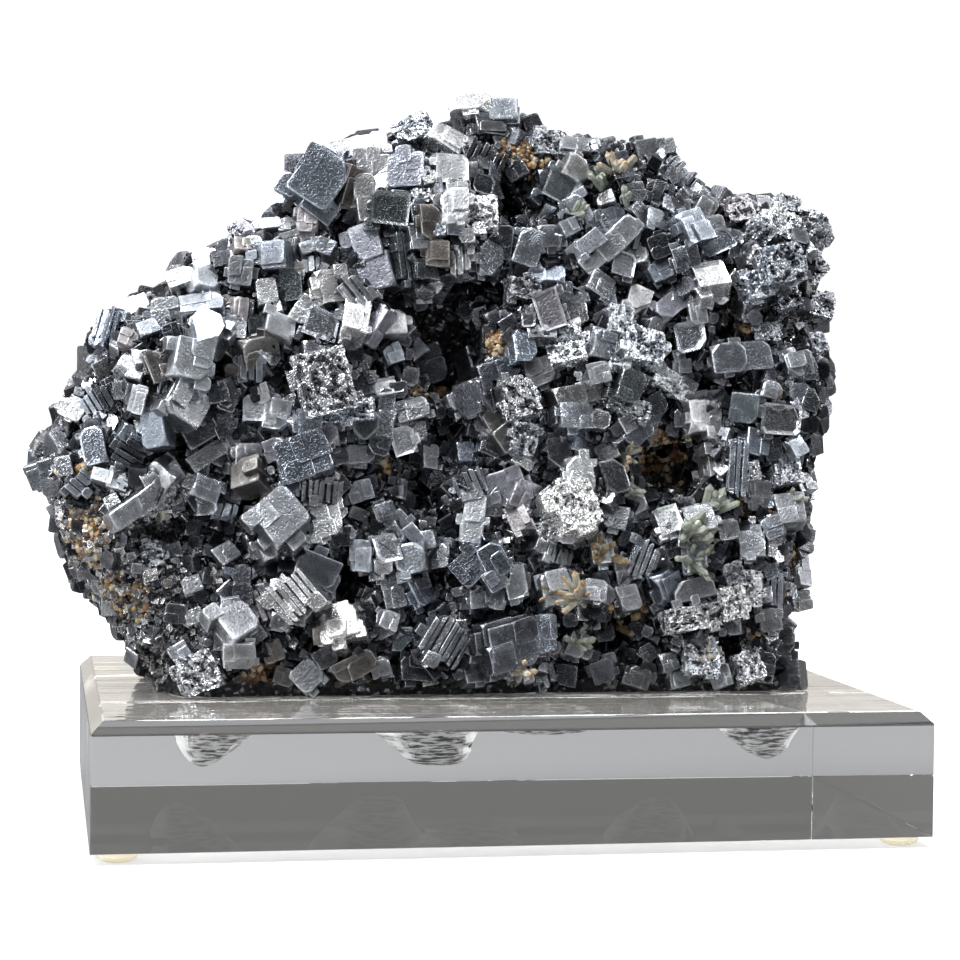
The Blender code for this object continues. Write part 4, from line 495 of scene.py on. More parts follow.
class Graph:
    """A node tree, with short calls that add and join nodes."""

    def __init__(self, tree: bpy.types.NodeTree) -> None:
        """Takes a tree and empties it."""
        self.tree = tree
        tree.nodes.clear()

    def add(self, kind: str, inputs: dict | None = None, **settings: object) -> bpy.types.Node:
        """Adds a node.

        Args:
            kind: The node's type, without its prefix where that is ShaderNode.
            inputs: Input names, each with a value or with the output socket that feeds it.
            settings: The node's own properties.

        Returns:
            The node.
        """
        prefix = "" if kind.startswith(("Geometry", "Function", "NodeGroup")) else "ShaderNode"
        node = self.tree.nodes.new(prefix + kind)
        for key, value in settings.items():
            setattr(node, key, value)
        for key, value in (inputs or {}).items():
            if isinstance(value, bpy.types.NodeSocket):
                self.tree.links.new(value, node.inputs[key])
            else:
                node.inputs[key].default_value = value
        return node

    def math(self, operation: str, first: object, second: object = 0.5, clamp: bool = False) -> Socket:
        """The result of one arithmetic step on two values or sockets."""
        return self.add("Math", {0: first, 1: second}, operation=operation, use_clamp=clamp).outputs[0]

    def ramp(self, share: Socket, *stops: tuple[float, float | Colour]) -> Socket:
        """A ramp through stops of position and of grey value or colour."""
        node = self.add("ValToRGB", {0: share})
        elements = node.color_ramp.elements
        while len(elements) < len(stops):
            elements.new(0.5)
        for element, (position, value) in zip(elements, stops):
            element.position = position
            element.color = value if isinstance(value, tuple) else (value, value, value, 1.0)
        return node.outputs[0]

    def mix(self, share: object, first: object, second: object, blend: str = "MIX") -> Socket:
        """A mix of two colours by a share."""
        inputs = {0: share, 6: first, 7: second}
        return self.add("Mix", inputs, data_type="RGBA", blend_type=blend).outputs[2]

    def shaded(self, colour: Socket, shade: Socket) -> Socket:
        """A colour times a shade."""
        return self.mix(1.0, colour, shade, "MULTIPLY")

    def place(self) -> Socket:
        """Object coordinates."""
        return self.add("TexCoord").outputs["Object"]

    def stored(self, name: str, output: str = "Fac") -> Socket:
        """An attribute of the mesh."""
        return self.add("Attribute", attribute_name=name).outputs[output]

    def cloud(self, place: Socket, scale: float, detail: float) -> Socket:
        """Noise of this scale, in repeats a metre or in repeats a unit of the place."""
        return self.add("TexNoise", {"Vector": place, "Scale": scale, "Detail": detail}).outputs["Fac"]

    def bump(self, height: Socket, high_mm: float, strength: float = 1.0, invert: bool = False) -> Socket:
        """A bumped normal."""
        inputs = {"Height": height, "Distance": high_mm * MM, "Strength": strength}
        return self.add("Bump", inputs, invert=invert).outputs[0]


class Dress(Graph):
    """The nodes of a finish."""

    def __init__(self, name: str) -> None:
        """Starts an empty material of this name."""
        self.material = bpy.data.materials.new(name)
        self.material.use_nodes = True
        super().__init__(self.material.node_tree)

    def finish(self, inputs: dict) -> Look:
        """Feeds the surface shader, joins it to the output and hands the material over."""
        shader = self.add("BsdfPrincipled", inputs)
        self.add("OutputMaterial", {"Surface": shader.outputs[0]}).is_active_output = True
        return self.material


@dataclass(frozen=True)
class GalenaFinish:
    """Lead-grey metallic faces, painted lighter at their edges, rims and frames and darker in their middles, pits
    and pores: painted highlight and painted shade. Colour and roughness come with each crystal.
    """

    name: str = "galena_faces"
    metallic: float = 0.95
    mottle_mm: float = 2.6
    grit_mm: float = 0.5
    pits_per_mm: float = 1.3
    pores_per_mm: float = 1.5
    swells_per_mm: float = 0.22
    step_share: float = 0.05
    step_height: float = 14.0
    pore_height: float = 4.0
    centre_painted_shade: float = 0.74
    rim_painted_highlight: float = 1.75
    ragged: float = 0.55
    pit_shade_share: float = 0.6
    edge_highlight: float = 0.26
    edge_highlight_colour: Colour = (0.80, 0.81, 0.83, 1.0)
    bump_mm: float = 0.06

    @staticmethod
    def rim(graph: Graph) -> Socket:
        """How near a place is to an edge of its crystal: the middle one of its three unit coordinates."""
        whole = graph.add("VectorMath", {0: graph.stored("unit_place", "Vector")}, operation="ABSOLUTE").outputs[0]
        x, y, z = graph.add("SeparateXYZ", {0: whole}).outputs
        most = graph.math("MAXIMUM", graph.math("MAXIMUM", x, y), z)
        least = graph.math("MINIMUM", graph.math("MINIMUM", x, y), z)
        total = graph.math("ADD", graph.math("ADD", x, y), z)
        return graph.math("SUBTRACT", graph.math("SUBTRACT", total, most), least)

    def material(self) -> Look:
        """Builds the material."""
        graph = Dress(self.name)
        place, own = graph.place(), graph.stored("own_place", "Vector")
        tone, sponge = graph.add("Attribute", attribute_name="tone").outputs, graph.stored("sponge")
        mottle = graph.cloud(place, 1 / (self.mottle_mm * MM), 5.0)
        grit = graph.cloud(place, 1 / (self.grit_mm * MM), 2.0)
        pits = graph.add("TexVoronoi", {"Vector": own, "Scale": self.pits_per_mm}).outputs["Distance"]
        pores = graph.add("TexVoronoi", {"Vector": own, "Scale": self.pores_per_mm}).outputs["Distance"]
        steps = graph.math("SNAP", graph.cloud(own, self.swells_per_mm, 1.0), self.step_share)
        rim = graph.math("ADD", self.rim(graph), graph.math("MULTIPLY", mottle, self.ragged))
        rim = graph.ramp(graph.math("SUBTRACT", rim, 0.27), (0.50, 0.0), (0.80, 0.30), (0.97, 1.0))
        colour = graph.shaded(tone["Color"], graph.ramp(mottle, (0.32, 0.72), (0.50, 1.0), (0.70, 1.25)))
        # Painted highlight and painted shade: each face is lighter towards its crystal's edges and darker in its
        # middle.
        colour = graph.shaded(colour, graph.ramp(rim, (0.0, self.centre_painted_shade), (1.0, self.rim_painted_highlight)))
        colour = graph.shaded(colour, graph.ramp(grit, (0.34, 0.65), (0.44, 1.0), (0.66, 1.0), (0.76, 1.4)))
        # Painted shade: dark spots where the little pits lie.
        pitted = graph.shaded(colour, graph.ramp(pits, (0.10, 0.25), (0.20, 1.0)))
        colour = graph.mix(self.pit_shade_share, colour, pitted)
        # Painted shade in the pores of porous crystals and painted highlight on the thin walls between them; the
        # same pattern is also their bump.
        holes = graph.math("ADD", pores, graph.math("MULTIPLY", mottle, 0.5))
        porous = graph.ramp(holes, (0.42, 0.03), (0.50, 0.5), (0.62, 1.0), (0.85, 1.7))
        colour = graph.mix(sponge, colour, graph.shaded(colour, porous))
        # Painted highlight: worn edges, hopper frames and the rims of porous crystals are painted whiter.
        colour = graph.mix(graph.math("MULTIPLY", graph.stored("edge"), self.edge_highlight), colour, self.edge_highlight_colour)
        rough = graph.math("MULTIPLY", tone["Alpha"], graph.ramp(mottle, (0.3, 1.25), (0.7, 0.8)))
        height = graph.math("MULTIPLY", steps, self.step_height)
        height = graph.math("ADD", height, graph.ramp(grit, (0.36, 0.0), (0.5, 1.0)))
        height = graph.math("ADD", height, mottle)
        deep = graph.math("MULTIPLY", sponge, graph.math("MULTIPLY", porous, self.pore_height))
        normal = graph.bump(graph.math("ADD", height, deep), self.bump_mm, 0.7)
        return graph.finish({"Base Color": colour, "Roughness": rough, "Metallic": self.metallic, "Normal": normal})


@dataclass(frozen=True)
class RockFinish:
    """Dark granular rock between the crystals, rusty and pale by zone, its darkest grains blacker than the rock
    itself: painted shade for the gaps.
    """

    name: str = "dark_matrix"
    grain_mm: float = 0.9
    patch_mm: float = 6.0
    metallic: float = 0.6
    bump_mm: float = 0.35
    dark: tuple[Colour, Colour] = ((0.005, 0.005, 0.006, 1.0), (0.035, 0.036, 0.040, 1.0))
    pale: Colour = (0.34, 0.35, 0.37, 1.0)
    rust: tuple[Colour, Colour] = ((0.13, 0.06, 0.025, 1.0), (0.46, 0.27, 0.11, 1.0))

    def material(self) -> Look:
        """Builds the material."""
        graph = Dress(self.name)
        place = graph.place()
        grain = graph.add("TexVoronoi", {"Vector": place, "Scale": 1 / (self.grain_mm * MM)}).outputs
        patch = graph.cloud(place, 1 / (self.patch_mm * MM), 6.0)
        grit = graph.cloud(place, 3 / (self.grain_mm * MM), 3.0)
        speck = graph.add("TexWhiteNoise", {"Vector": grain["Position"]}, noise_dimensions="3D").outputs["Value"]
        glint = graph.ramp(speck, (0.84, 0.0), (0.92, 0.8))
        # Painted shade: the rock's dark grains are near black, deeper than the rock's own dark, for the gaps
        # between crystals.
        grey = graph.mix(glint, graph.mix(grit, *self.dark), self.pale)
        wet = graph.math("MULTIPLY", graph.stored("rust"), graph.ramp(patch, (0.40, 0.0), (0.56, 1.0)))
        colour = graph.mix(wet, grey, graph.mix(speck, *self.rust))
        metal = graph.math("MULTIPLY", graph.math("SUBTRACT", 1.0, wet, clamp=True), self.metallic)
        rough = graph.ramp(speck, (0.0, 0.6), (1.0, 0.25))
        normal = graph.bump(grain["Distance"], self.bump_mm, invert=True)
        return graph.finish({"Base Color": colour, "Roughness": rough, "Metallic": metal, "Normal": normal})


@dataclass(frozen=True)
class OchreFinish:
    """Small rounded iron-stained grains, cream to orange-brown."""

    name: str = "ochre_grains"
    cloud_mm: float = 0.5
    bump_mm: float = 0.1
    rough: float = 0.45

    def material(self) -> Look:
        """Builds the material."""
        graph = Dress(self.name)
        cloud = graph.cloud(graph.place(), 1 / (self.cloud_mm * MM), 3.0)
        colour = graph.shaded(graph.stored("tone", "Color"), graph.ramp(cloud, (0.3, 0.6), (0.7, 1.25)))
        normal = graph.bump(cloud, self.bump_mm)
        return graph.finish({"Base Color": colour, "Roughness": self.rough, "Normal": normal})


@dataclass(frozen=True)
class QuartzFinish:
    """Small greenish quartz prisms, clear inside and stained at some tips."""

    name: str = "quartz_prisms"
    cloud_mm: float = 1.2
    bump_mm: float = 0.08
    rough: float = 0.18
    ior: float = 1.54
    clearness: float = 0.35
    stain: Colour = (0.58, 0.33, 0.12, 1.0)

    def material(self) -> Look:
        """Builds the material."""
        graph = Dress(self.name)
        tone = graph.stored("tone", "Color")
        along = graph.add("SeparateXYZ", {0: graph.stored("unit_place", "Vector")}).outputs[2]
        red = graph.add("SeparateColor", {0: tone}).outputs[0]
        end = graph.ramp(along, (0.78, 0.0), (1.0, 1.0))
        tone = graph.mix(graph.math("MULTIPLY", end, graph.ramp(red, (0.6, 0.0), (0.68, 1.0))), tone, self.stain)
        cloud = graph.cloud(graph.place(), 1 / (self.cloud_mm * MM), 4.0)
        colour = graph.shaded(tone, graph.ramp(cloud, (0.3, 0.6), (0.7, 1.2)))
        normal = graph.bump(cloud, self.bump_mm)
        return graph.finish({
            "Base Color": colour, "Roughness": self.rough, "IOR": self.ior,
            "Transmission Weight": self.clearness, "Normal": normal,
        })


@dataclass(frozen=True)
class AcrylicFinish:
    """Clear acrylic with a few fine scratches and with drag marks, the faintest ones where it is polished."""

    name: str = "clear_acrylic_polished"
    colour: Colour = (0.985, 0.992, 0.99, 1.0)
    drag_share: tuple[float, float, float] = (1.0, 1.0, 1.0)
    drag_scale: float = 55.0
    drag_mm: float = 0.003
    clearness: float = 1.0
    scratch_scale: float = 900.0
    ior: float = 1.49

    def material(self) -> Look:
        """Builds the material."""
        graph = Dress(self.name)
        place = graph.place()
        drawn = graph.add("VectorMath", {0: place, 1: self.drag_share}, operation="MULTIPLY").outputs[0]
        normal = graph.bump(graph.cloud(drawn, self.drag_scale, 2.0), self.drag_mm)
        rough = graph.ramp(graph.cloud(place, self.scratch_scale, 6.0), (0.55, 0.0), (0.80, 0.06))
        return graph.finish({
            "Base Color": self.colour, "Roughness": rough, "IOR": self.ior,
            "Transmission Weight": self.clearness, "Normal": normal,
        })


@dataclass(frozen=True)
class GroundFinish:
    """The ground inside of a pocket: white, matt and scored by the cutter, darker in the score marks. It glows with
    painted light, and its sides that face left and right are painted white as a painted highlight.
    """

    name: str = "ground_acrylic"
    score_mm: float = 1.1
    score_stretch: tuple[float, float, float] = (0.35, 0.35, 2.4)
    grit_scale: float = 900.0
    bump_mm: float = 0.5
    rough: float = 0.5
    ior: float = 1.49
    clearness: float = 0.35

    def material(self) -> Look:
        """Builds the material."""
        graph = Dress(self.name)
        coordinates = graph.add("TexCoord").outputs
        place = coordinates["Object"]
        across = graph.math("ABSOLUTE", graph.add("SeparateXYZ", {0: coordinates["Normal"]}).outputs[0])
        # Painted highlight: the sides facing left and right are painted white.
        rim = graph.ramp(across, (0.45, 0.0), (0.80, 1.0))
        long = graph.add("VectorMath", {0: place, 1: self.score_stretch}, operation="MULTIPLY").outputs[0]
        score = graph.cloud(long, 1 / (self.score_mm * MM), 3.0)
        grit = graph.cloud(place, self.grit_scale, 5.0)
        white = graph.mix(rim, graph.ramp(score, (0.42, 0.05), (0.48, 0.45), (0.56, 1.0)), (1.0, 1.0, 1.0, 1.0))
        # Painted light: the pocket glows, most on its whitened sides.
        glow = graph.ramp(rim, (0.0, 0.16), (1.0, 0.55))
        normal = graph.bump(graph.math("ADD", score, grit), self.bump_mm)
        return graph.finish({
            "Base Color": white, "Roughness": self.rough, "IOR": self.ior, "Transmission Weight": self.clearness,
            "Emission Color": white, "Emission Strength": glow, "Normal": normal,
        })


@dataclass(frozen=True)
class BumperFinish:
    """Soft clear bumper, yellowed with age, that glows a little with painted light."""

    name: str = "clear_bumper_soft"
    cloud_scale: float = 500.0
    yellows: tuple[Colour, Colour] = ((0.97, 0.93, 0.80, 1.0), (0.93, 0.87, 0.68, 1.0))
    ior: float = 1.47
    clearness: float = 0.45
    # Painted light: the bumper glows though it is no lamp.
    glow: float = 0.30

    def material(self) -> Look:
        """Builds the material."""
        graph = Dress(self.name)
        cloud = graph.cloud(graph.place(), self.cloud_scale, 3.0)
        colour = graph.mix(cloud, *self.yellows)
        rough = graph.ramp(cloud, (0.3, 0.12), (0.7, 0.3))
        return graph.finish({
            "Base Color": colour, "Roughness": rough, "IOR": self.ior, "Transmission Weight": self.clearness,
            "Emission Color": colour, "Emission Strength": self.glow,
        })


@dataclass
class MeshBin:
    """Gathers many small closed shapes into one mesh, each with its tone and its own coordinates."""

    points: list[Vector] = field(default_factory=list)
    own: list[Vector] = field(default_factory=list)
    unit: list[Vector] = field(default_factory=list)
    sponge: list[float] = field(default_factory=list)
    tones: list[Colour] = field(default_factory=list)
    faces: list[list[int]] = field(default_factory=list)
    edges: list[float] = field(default_factory=list)
    least_edge: float = 0.004

    def add(self, bm: Shape, placed: Matrix, tone: Colour, floor: float = -math.inf, sponge: float = 0.0) -> None:
        """Adds a shape and frees it.

        Args:
            bm: The shape, in millimetres about its own centre.
            placed: Where it goes, in millimetres.
            tone: Red, green, blue and roughness.
            floor: The height under which it is cut off, or up to which it is lifted if it is porous.
            sponge: How porous its faces are.
        """
        half = [max(abs(vertex.co[axis]) for vertex in bm.verts) for axis in range(3)]
        layer = bm.verts.layers.float_vector.new("own_place")
        for vertex in bm.verts:
            vertex[layer] = vertex.co.copy()
        bm.transform(placed)
        lowest = min(vertex.co.z for vertex in bm.verts)
        if lowest < floor and sponge:
            bm.transform(Matrix.Translation((0.0, 0.0, floor - lowest)))
        elif lowest < floor:
            cut_below(bm, floor)
        bmesh.ops.dissolve_degenerate(bm, dist=self.least_edge, edges=bm.edges[:])
        start = len(self.points)
        bm.verts.index_update()
        for vertex in bm.verts:
            self.points.append(vertex.co * MM)
            self.own.append(vertex[layer].copy())
            self.unit.append(Vector(part / most for part, most in zip(vertex[layer], half)))
        self.sponge.extend([sponge] * len(bm.verts))
        self.tones.extend([tone] * len(bm.verts))
        self.faces.extend([start + vertex.index for vertex in face.verts] for face in bm.faces)
        worn = bm.faces.layers.float.get("edge")
        self.edges.extend(face[worn] if worn else 0.0 for face in bm.faces)
        bm.free()

    def to_object(self, name: str, look: Look) -> Piece:
        """The gathered mesh as an object."""
        mesh = bpy.data.meshes.new(name)
        mesh.from_pydata([tuple(point) for point in self.points], [], self.faces)
        store(mesh, "tone", self.tones, "FLOAT_COLOR")
        store(mesh, "own_place", self.own, "FLOAT_VECTOR")
        store(mesh, "unit_place", self.unit, "FLOAT_VECTOR")
        store(mesh, "sponge", self.sponge)
        store(mesh, "edge", self.edges, domain="FACE")
        mesh.materials.append(look)
        mesh.update()
        return linked(name, mesh)


@dataclass
class CrystalForge:
    """Makes the shapes of single crystals, in millimetres about their centres. Their front is towards -Y."""

    edge_share: float = 0.04
    edge_least: float = 0.10
    edge_most: float = 0.28
    skew: float = 0.07
    taper: float = 0.10
    corners_cut: float = 0.8
    corner_spread: Point = (0.35, 1.5)
    cube_cut: Point = (0.16, 0.34)
    slab_cut: float = 0.25
    soft_cut: Point = (0.3, 0.45)
    soft_edge: float = 0.08
    hopper_cut: float = 0.18
    hopper_area: float = 0.3
    hopper_mark: float = 0.6
    frame_width: Point = (0.06, 0.12)
    frame_step: Point = (0.02, 0.10)
    frame_depth: Point = (0.03, 0.09)
    pit_cell: float = 0.5
    pit_level: float = 0.38
    bump_level: float = 0.8
    full_pits: float = 6.0
    pit_depth: Point = (0.6, 1.3)
    bump_height: Point = (0.05, 0.3)
    warp: float = 0.35
    plate_pitch: float = 1.45
    plate_cut: float = 0.3
    plate_sides: tuple[Point, ...] = ((0.55, 0.85), (0.8, 1.0), (0.68, 1.05))
    plate_moves: tuple[Point, ...] = ((0.0, 0.12), (-0.08, 0.08))
    back_sides: tuple[float, float, float] = (0.92, 0.7, 0.72)
    back_shift: float = 0.16
    block_cut: float = 0.22
    block_overlap: float = 1.25
    block_sides: tuple[Point, ...] = ((0.8, 1.0), (0.8, 1.05))
    block_moves: tuple[Point, ...] = ((-0.05, 0.08), (-0.06, 0.06))
    low_steps: float = 0.6
    low_rise: Point = (0.12, 0.34)
    high_share: float = 0.08
    high_rise: Point = (0.6, 1.6)
    step_side: Point = (0.35, 0.85)
    step_cut: float = 0.2
    step_edge: float = 0.1

    def edge(self, sides: Vector) -> float:
        """The width of a worn edge."""
        return max(self.edge_least, min(self.edge_most, self.edge_share * min(sides)))

    @staticmethod
    def wear(bm: Shape, width: float, segments: int = 1) -> None:
        """Bevels every edge and marks the faces that this makes."""
        layer = bm.faces.layers.float.new("edge")
        made = bmesh.ops.bevel(
            bm, geom=bm.edges[:], offset=width, segments=segments, profile=0.6, affect="EDGES", clamp_overlap=True
        )
        for face in made["faces"]:
            face[layer] = 1.0

    def box(self, sides: Vector, cut: float, chance: random.Random) -> Shape:
        """A box with cut corners, a little skewed and tapered, its edges still sharp.

        Args:
            sides: The lengths along X, Y and Z.
            cut: How far the corners are cut back, as a share of the shortest side.
            chance: The source of its small irregularities.

        Returns:
            The shape.
        """
        bm = unit_cube()
        narrow = chance.uniform(-self.taper, self.taper), chance.uniform(-self.taper, self.taper)
        for vertex in bm.verts:
            vertex.co.x *= 1.0 + narrow[0] * vertex.co.z
            vertex.co.z *= 1.0 + narrow[1] * vertex.co.x
        skew = self.skew
        lean = Matrix([[1.0 if i == j else chance.uniform(-skew, skew) for j in range(3)] for i in range(3)])
        bm.transform((Matrix.Diagonal(sides) @ lean).to_4x4())
        for vertex in list(bm.verts):
            amount = cut * min(sides) * chance.uniform(*self.corner_spread)
            if cut and chance.random() < self.corners_cut:
                bmesh.ops.bevel(bm, geom=[vertex], offset=amount, segments=1, affect="VERTICES")
        return bm

    def block(self, sides: Vector, cut: float, chance: random.Random, edge: float | None = None) -> Shape:
        """A box with cut corners and worn edges. An edge of None is the usual width."""
        bm = self.box(sides, cut, chance)
        self.wear(bm, self.edge(sides) if edge is None else edge)
        return bm

    def rounded(self, sides: Vector, chance: random.Random) -> Shape:
        """A cube with broad, soft edges."""
        bm = self.box(sides, chance.uniform(*self.soft_cut), chance)
        self.wear(bm, self.soft_edge * min(sides), 2)
        return bm

    def hopper(self, sides: Vector, chance: random.Random) -> Shape:
        """A cube with each face sunk in one or two steps inside a raised frame."""
        bm = self.box(sides, self.hopper_cut, chance)
        layer = bm.faces.layers.float.new("edge")
        area = self.hopper_area * min(sides.x * sides.y, sides.y * sides.z, sides.x * sides.z)
        for face in [face for face in bm.faces if face.calc_area() > area]:
            rim = min(sides) * chance.uniform(*self.frame_width)
            for _ in range(chance.choice((1, 2, 2))):
                depth = -min(sides) * chance.uniform(*self.frame_depth)
                made = bmesh.ops.inset_individual(bm, faces=[face], thickness=rim, depth=depth)
                # The frame faces are marked for the painted edge highlight.
                for ring in made["faces"]:
                    ring[layer] = self.hopper_mark
                rim = min(sides) * chance.uniform(*self.frame_step)
        return bm

    def pitted(self, sides: Vector, chance: random.Random) -> Shape:
        """A cube whose faces are eaten into a sponge of pits and thin walls."""
        bm = unit_cube()
        cells = max(4, min(18, round(max(sides) / self.pit_cell)))
        bmesh.ops.subdivide_edges(bm, edges=bm.edges[:], cuts=cells - 1, use_grid_fill=True)
        bm.transform(Matrix.Diagonal((*sides, 1.0)))
        bm.normal_update()
        layer = bm.faces.layers.float.new("edge")
        seed = Vector([chance.uniform(0, 99) for _ in range(3)])
        step = max(sides) / cells
        moves = []
        for vertex in bm.verts:
            rim = sum(abs(c) > 0.5 * s - 0.6 * step for c, s in zip(vertex.co, sides))
            eaten = noise.noise(vertex.co * 0.75 + seed) + 0.6 * noise.noise(vertex.co * 1.9 + seed)
            share = chance.random()
            depth = 0.25 * eaten
            if rim < 2 and eaten + 0.35 * share > self.pit_level:
                depth = chance.uniform(*self.pit_depth)
            elif share > self.bump_level:
                depth = -chance.uniform(*self.bump_height)
            moves.append(vertex.normal * (-depth * min(1.0, min(sides) / self.full_pits)))
        for vertex, move in zip(bm.verts, moves):
            vertex.co += move + noise.noise_vector(vertex.co * 0.5 + seed) * self.warp
            if all(abs(c) > 0.44 * s for c, s in zip(vertex.co, sides)):
                vertex.co *= 0.9
        # Faces near the cube's outer sides are marked for the painted edge highlight.
        for face in bm.faces:
            low = max(abs(c) / (0.5 * s) for c, s in zip(face.calc_center_median(), sides))
            face[layer] = max(0.0, min(0.8, (low - 0.88) * 6.0))
        return bm

    @staticmethod
    def drawn(sides: Row, chance: random.Random, *shares: float | Point) -> Vector:
        """Three sides, each times a share: a number, or two numbers that it is drawn between."""
        return Vector([
            side * (chance.uniform(*share) if isinstance(share, tuple) else share)
            for side, share in zip(sides, shares)
        ])

    def stack(self, width: float, depth: float, height: float, chance: random.Random) -> list[Part]:
        """Parallel plates with slits between them, and the body behind that holds them."""
        made = []
        count = max(3, round(width / self.plate_pitch))
        pitch = width / count
        for index in range(count):
            across = (index - 0.5 * (count - 1)) * pitch
            plate = self.drawn((pitch, depth, height), chance, *self.plate_sides)
            shift = self.drawn((across, depth, height), chance, 1.0, *self.plate_moves)
            made.append((self.block(plate, self.plate_cut, chance), shift))
        back = self.drawn((width, depth, height), chance, *self.back_sides)
        return [*made, (self.block(back, 0.1, chance), Vector((0.0, self.back_shift * depth, 0.0)))]

    def bar(self, width: float, depth: float, height: float, chance: random.Random) -> list[Part]:
        """Stepped blocks in a row along the longer side."""
        made = []
        count = max(2, round(max(width, height) / min(width, height)))
        order = slice(None) if width > height else slice(None, None, -1)
        for index in range(count):
            shares = (self.block_overlap / count, *self.block_sides)[order]
            moves = ((index + 0.5) / count - 0.5, *self.block_moves)[order]
            piece = self.drawn((width, depth, height), chance, *shares)
            shift = self.drawn((width, depth, height), chance, *moves)
            made.append((self.block(piece, self.block_cut, chance), shift))
        return made

    def parts(self, crystal: Crystal, depth: float, chance: random.Random) -> list[Part]:
        """The shapes that make up a crystal.

        Args:
            crystal: The crystal.
            depth: Its length from front to back.
            chance: The source of its irregularities.

        Returns:
            Each shape with its offset from the crystal's centre.
        """
        habit, sides = crystal.habit, Vector((crystal.width, depth, crystal.height))
        if habit in (STACK, BAR):
            build = self.stack if habit is STACK else self.bar
            return build(crystal.width, depth, crystal.height, chance)
        if habit in (PITTED, HOPPER, ROUND):
            build = {PITTED: self.pitted, HOPPER: self.hopper, ROUND: self.rounded}[habit]
            return [(build(sides, chance), Vector())]
        body = self.block(sides, self.slab_cut if habit is SLAB else chance.uniform(*self.cube_cut), chance)
        steps = 2 if habit is SLAB else chance.choice((2, 2, 3, 4))
        return [(body, Vector()), *self.terraces(sides, steps, chance)]

    def terraces(self, sides: Vector, count: int, chance: random.Random) -> list[Part]:
        """Low growth steps that stand a little proud of the front, the top and the flanks.

        Args:
            sides: The crystal's sides.
            count: How many there are.
            chance: The source of their sizes and places.

        Returns:
            Each shape with its offset from the crystal's centre.
        """
        made = []
        for _ in range(count):
            axis = chance.choice((1, 1, 2, 0))
            sign = {0: chance.choice((-1.0, 1.0)), 1: -1.0, 2: 1.0}[axis]
            if chance.random() < self.low_steps:
                rise = chance.uniform(*self.low_rise)
            else:
                rise = self.high_share * min(sides) * chance.uniform(*self.high_rise)
            plate, shift = sides.copy(), Vector()
            for other in range(3):
                if other == axis:
                    plate[other] = 0.5 * sides[other]
                    shift[other] = sign * (0.25 * sides[other] + rise)
                else:
                    share = chance.uniform(*self.step_side)
                    plate[other] = share * sides[other]
                    flush = 0.5 * (1.0 - share) + chance.choice((0.0, 0.0, 0.015, 0.03, -0.06))
                    shift[other] = chance.choice((-1.0, 1.0)) * flush * sides[other]
            made.append((self.block(plate, self.step_cut, chance, self.step_edge), shift))
        return made


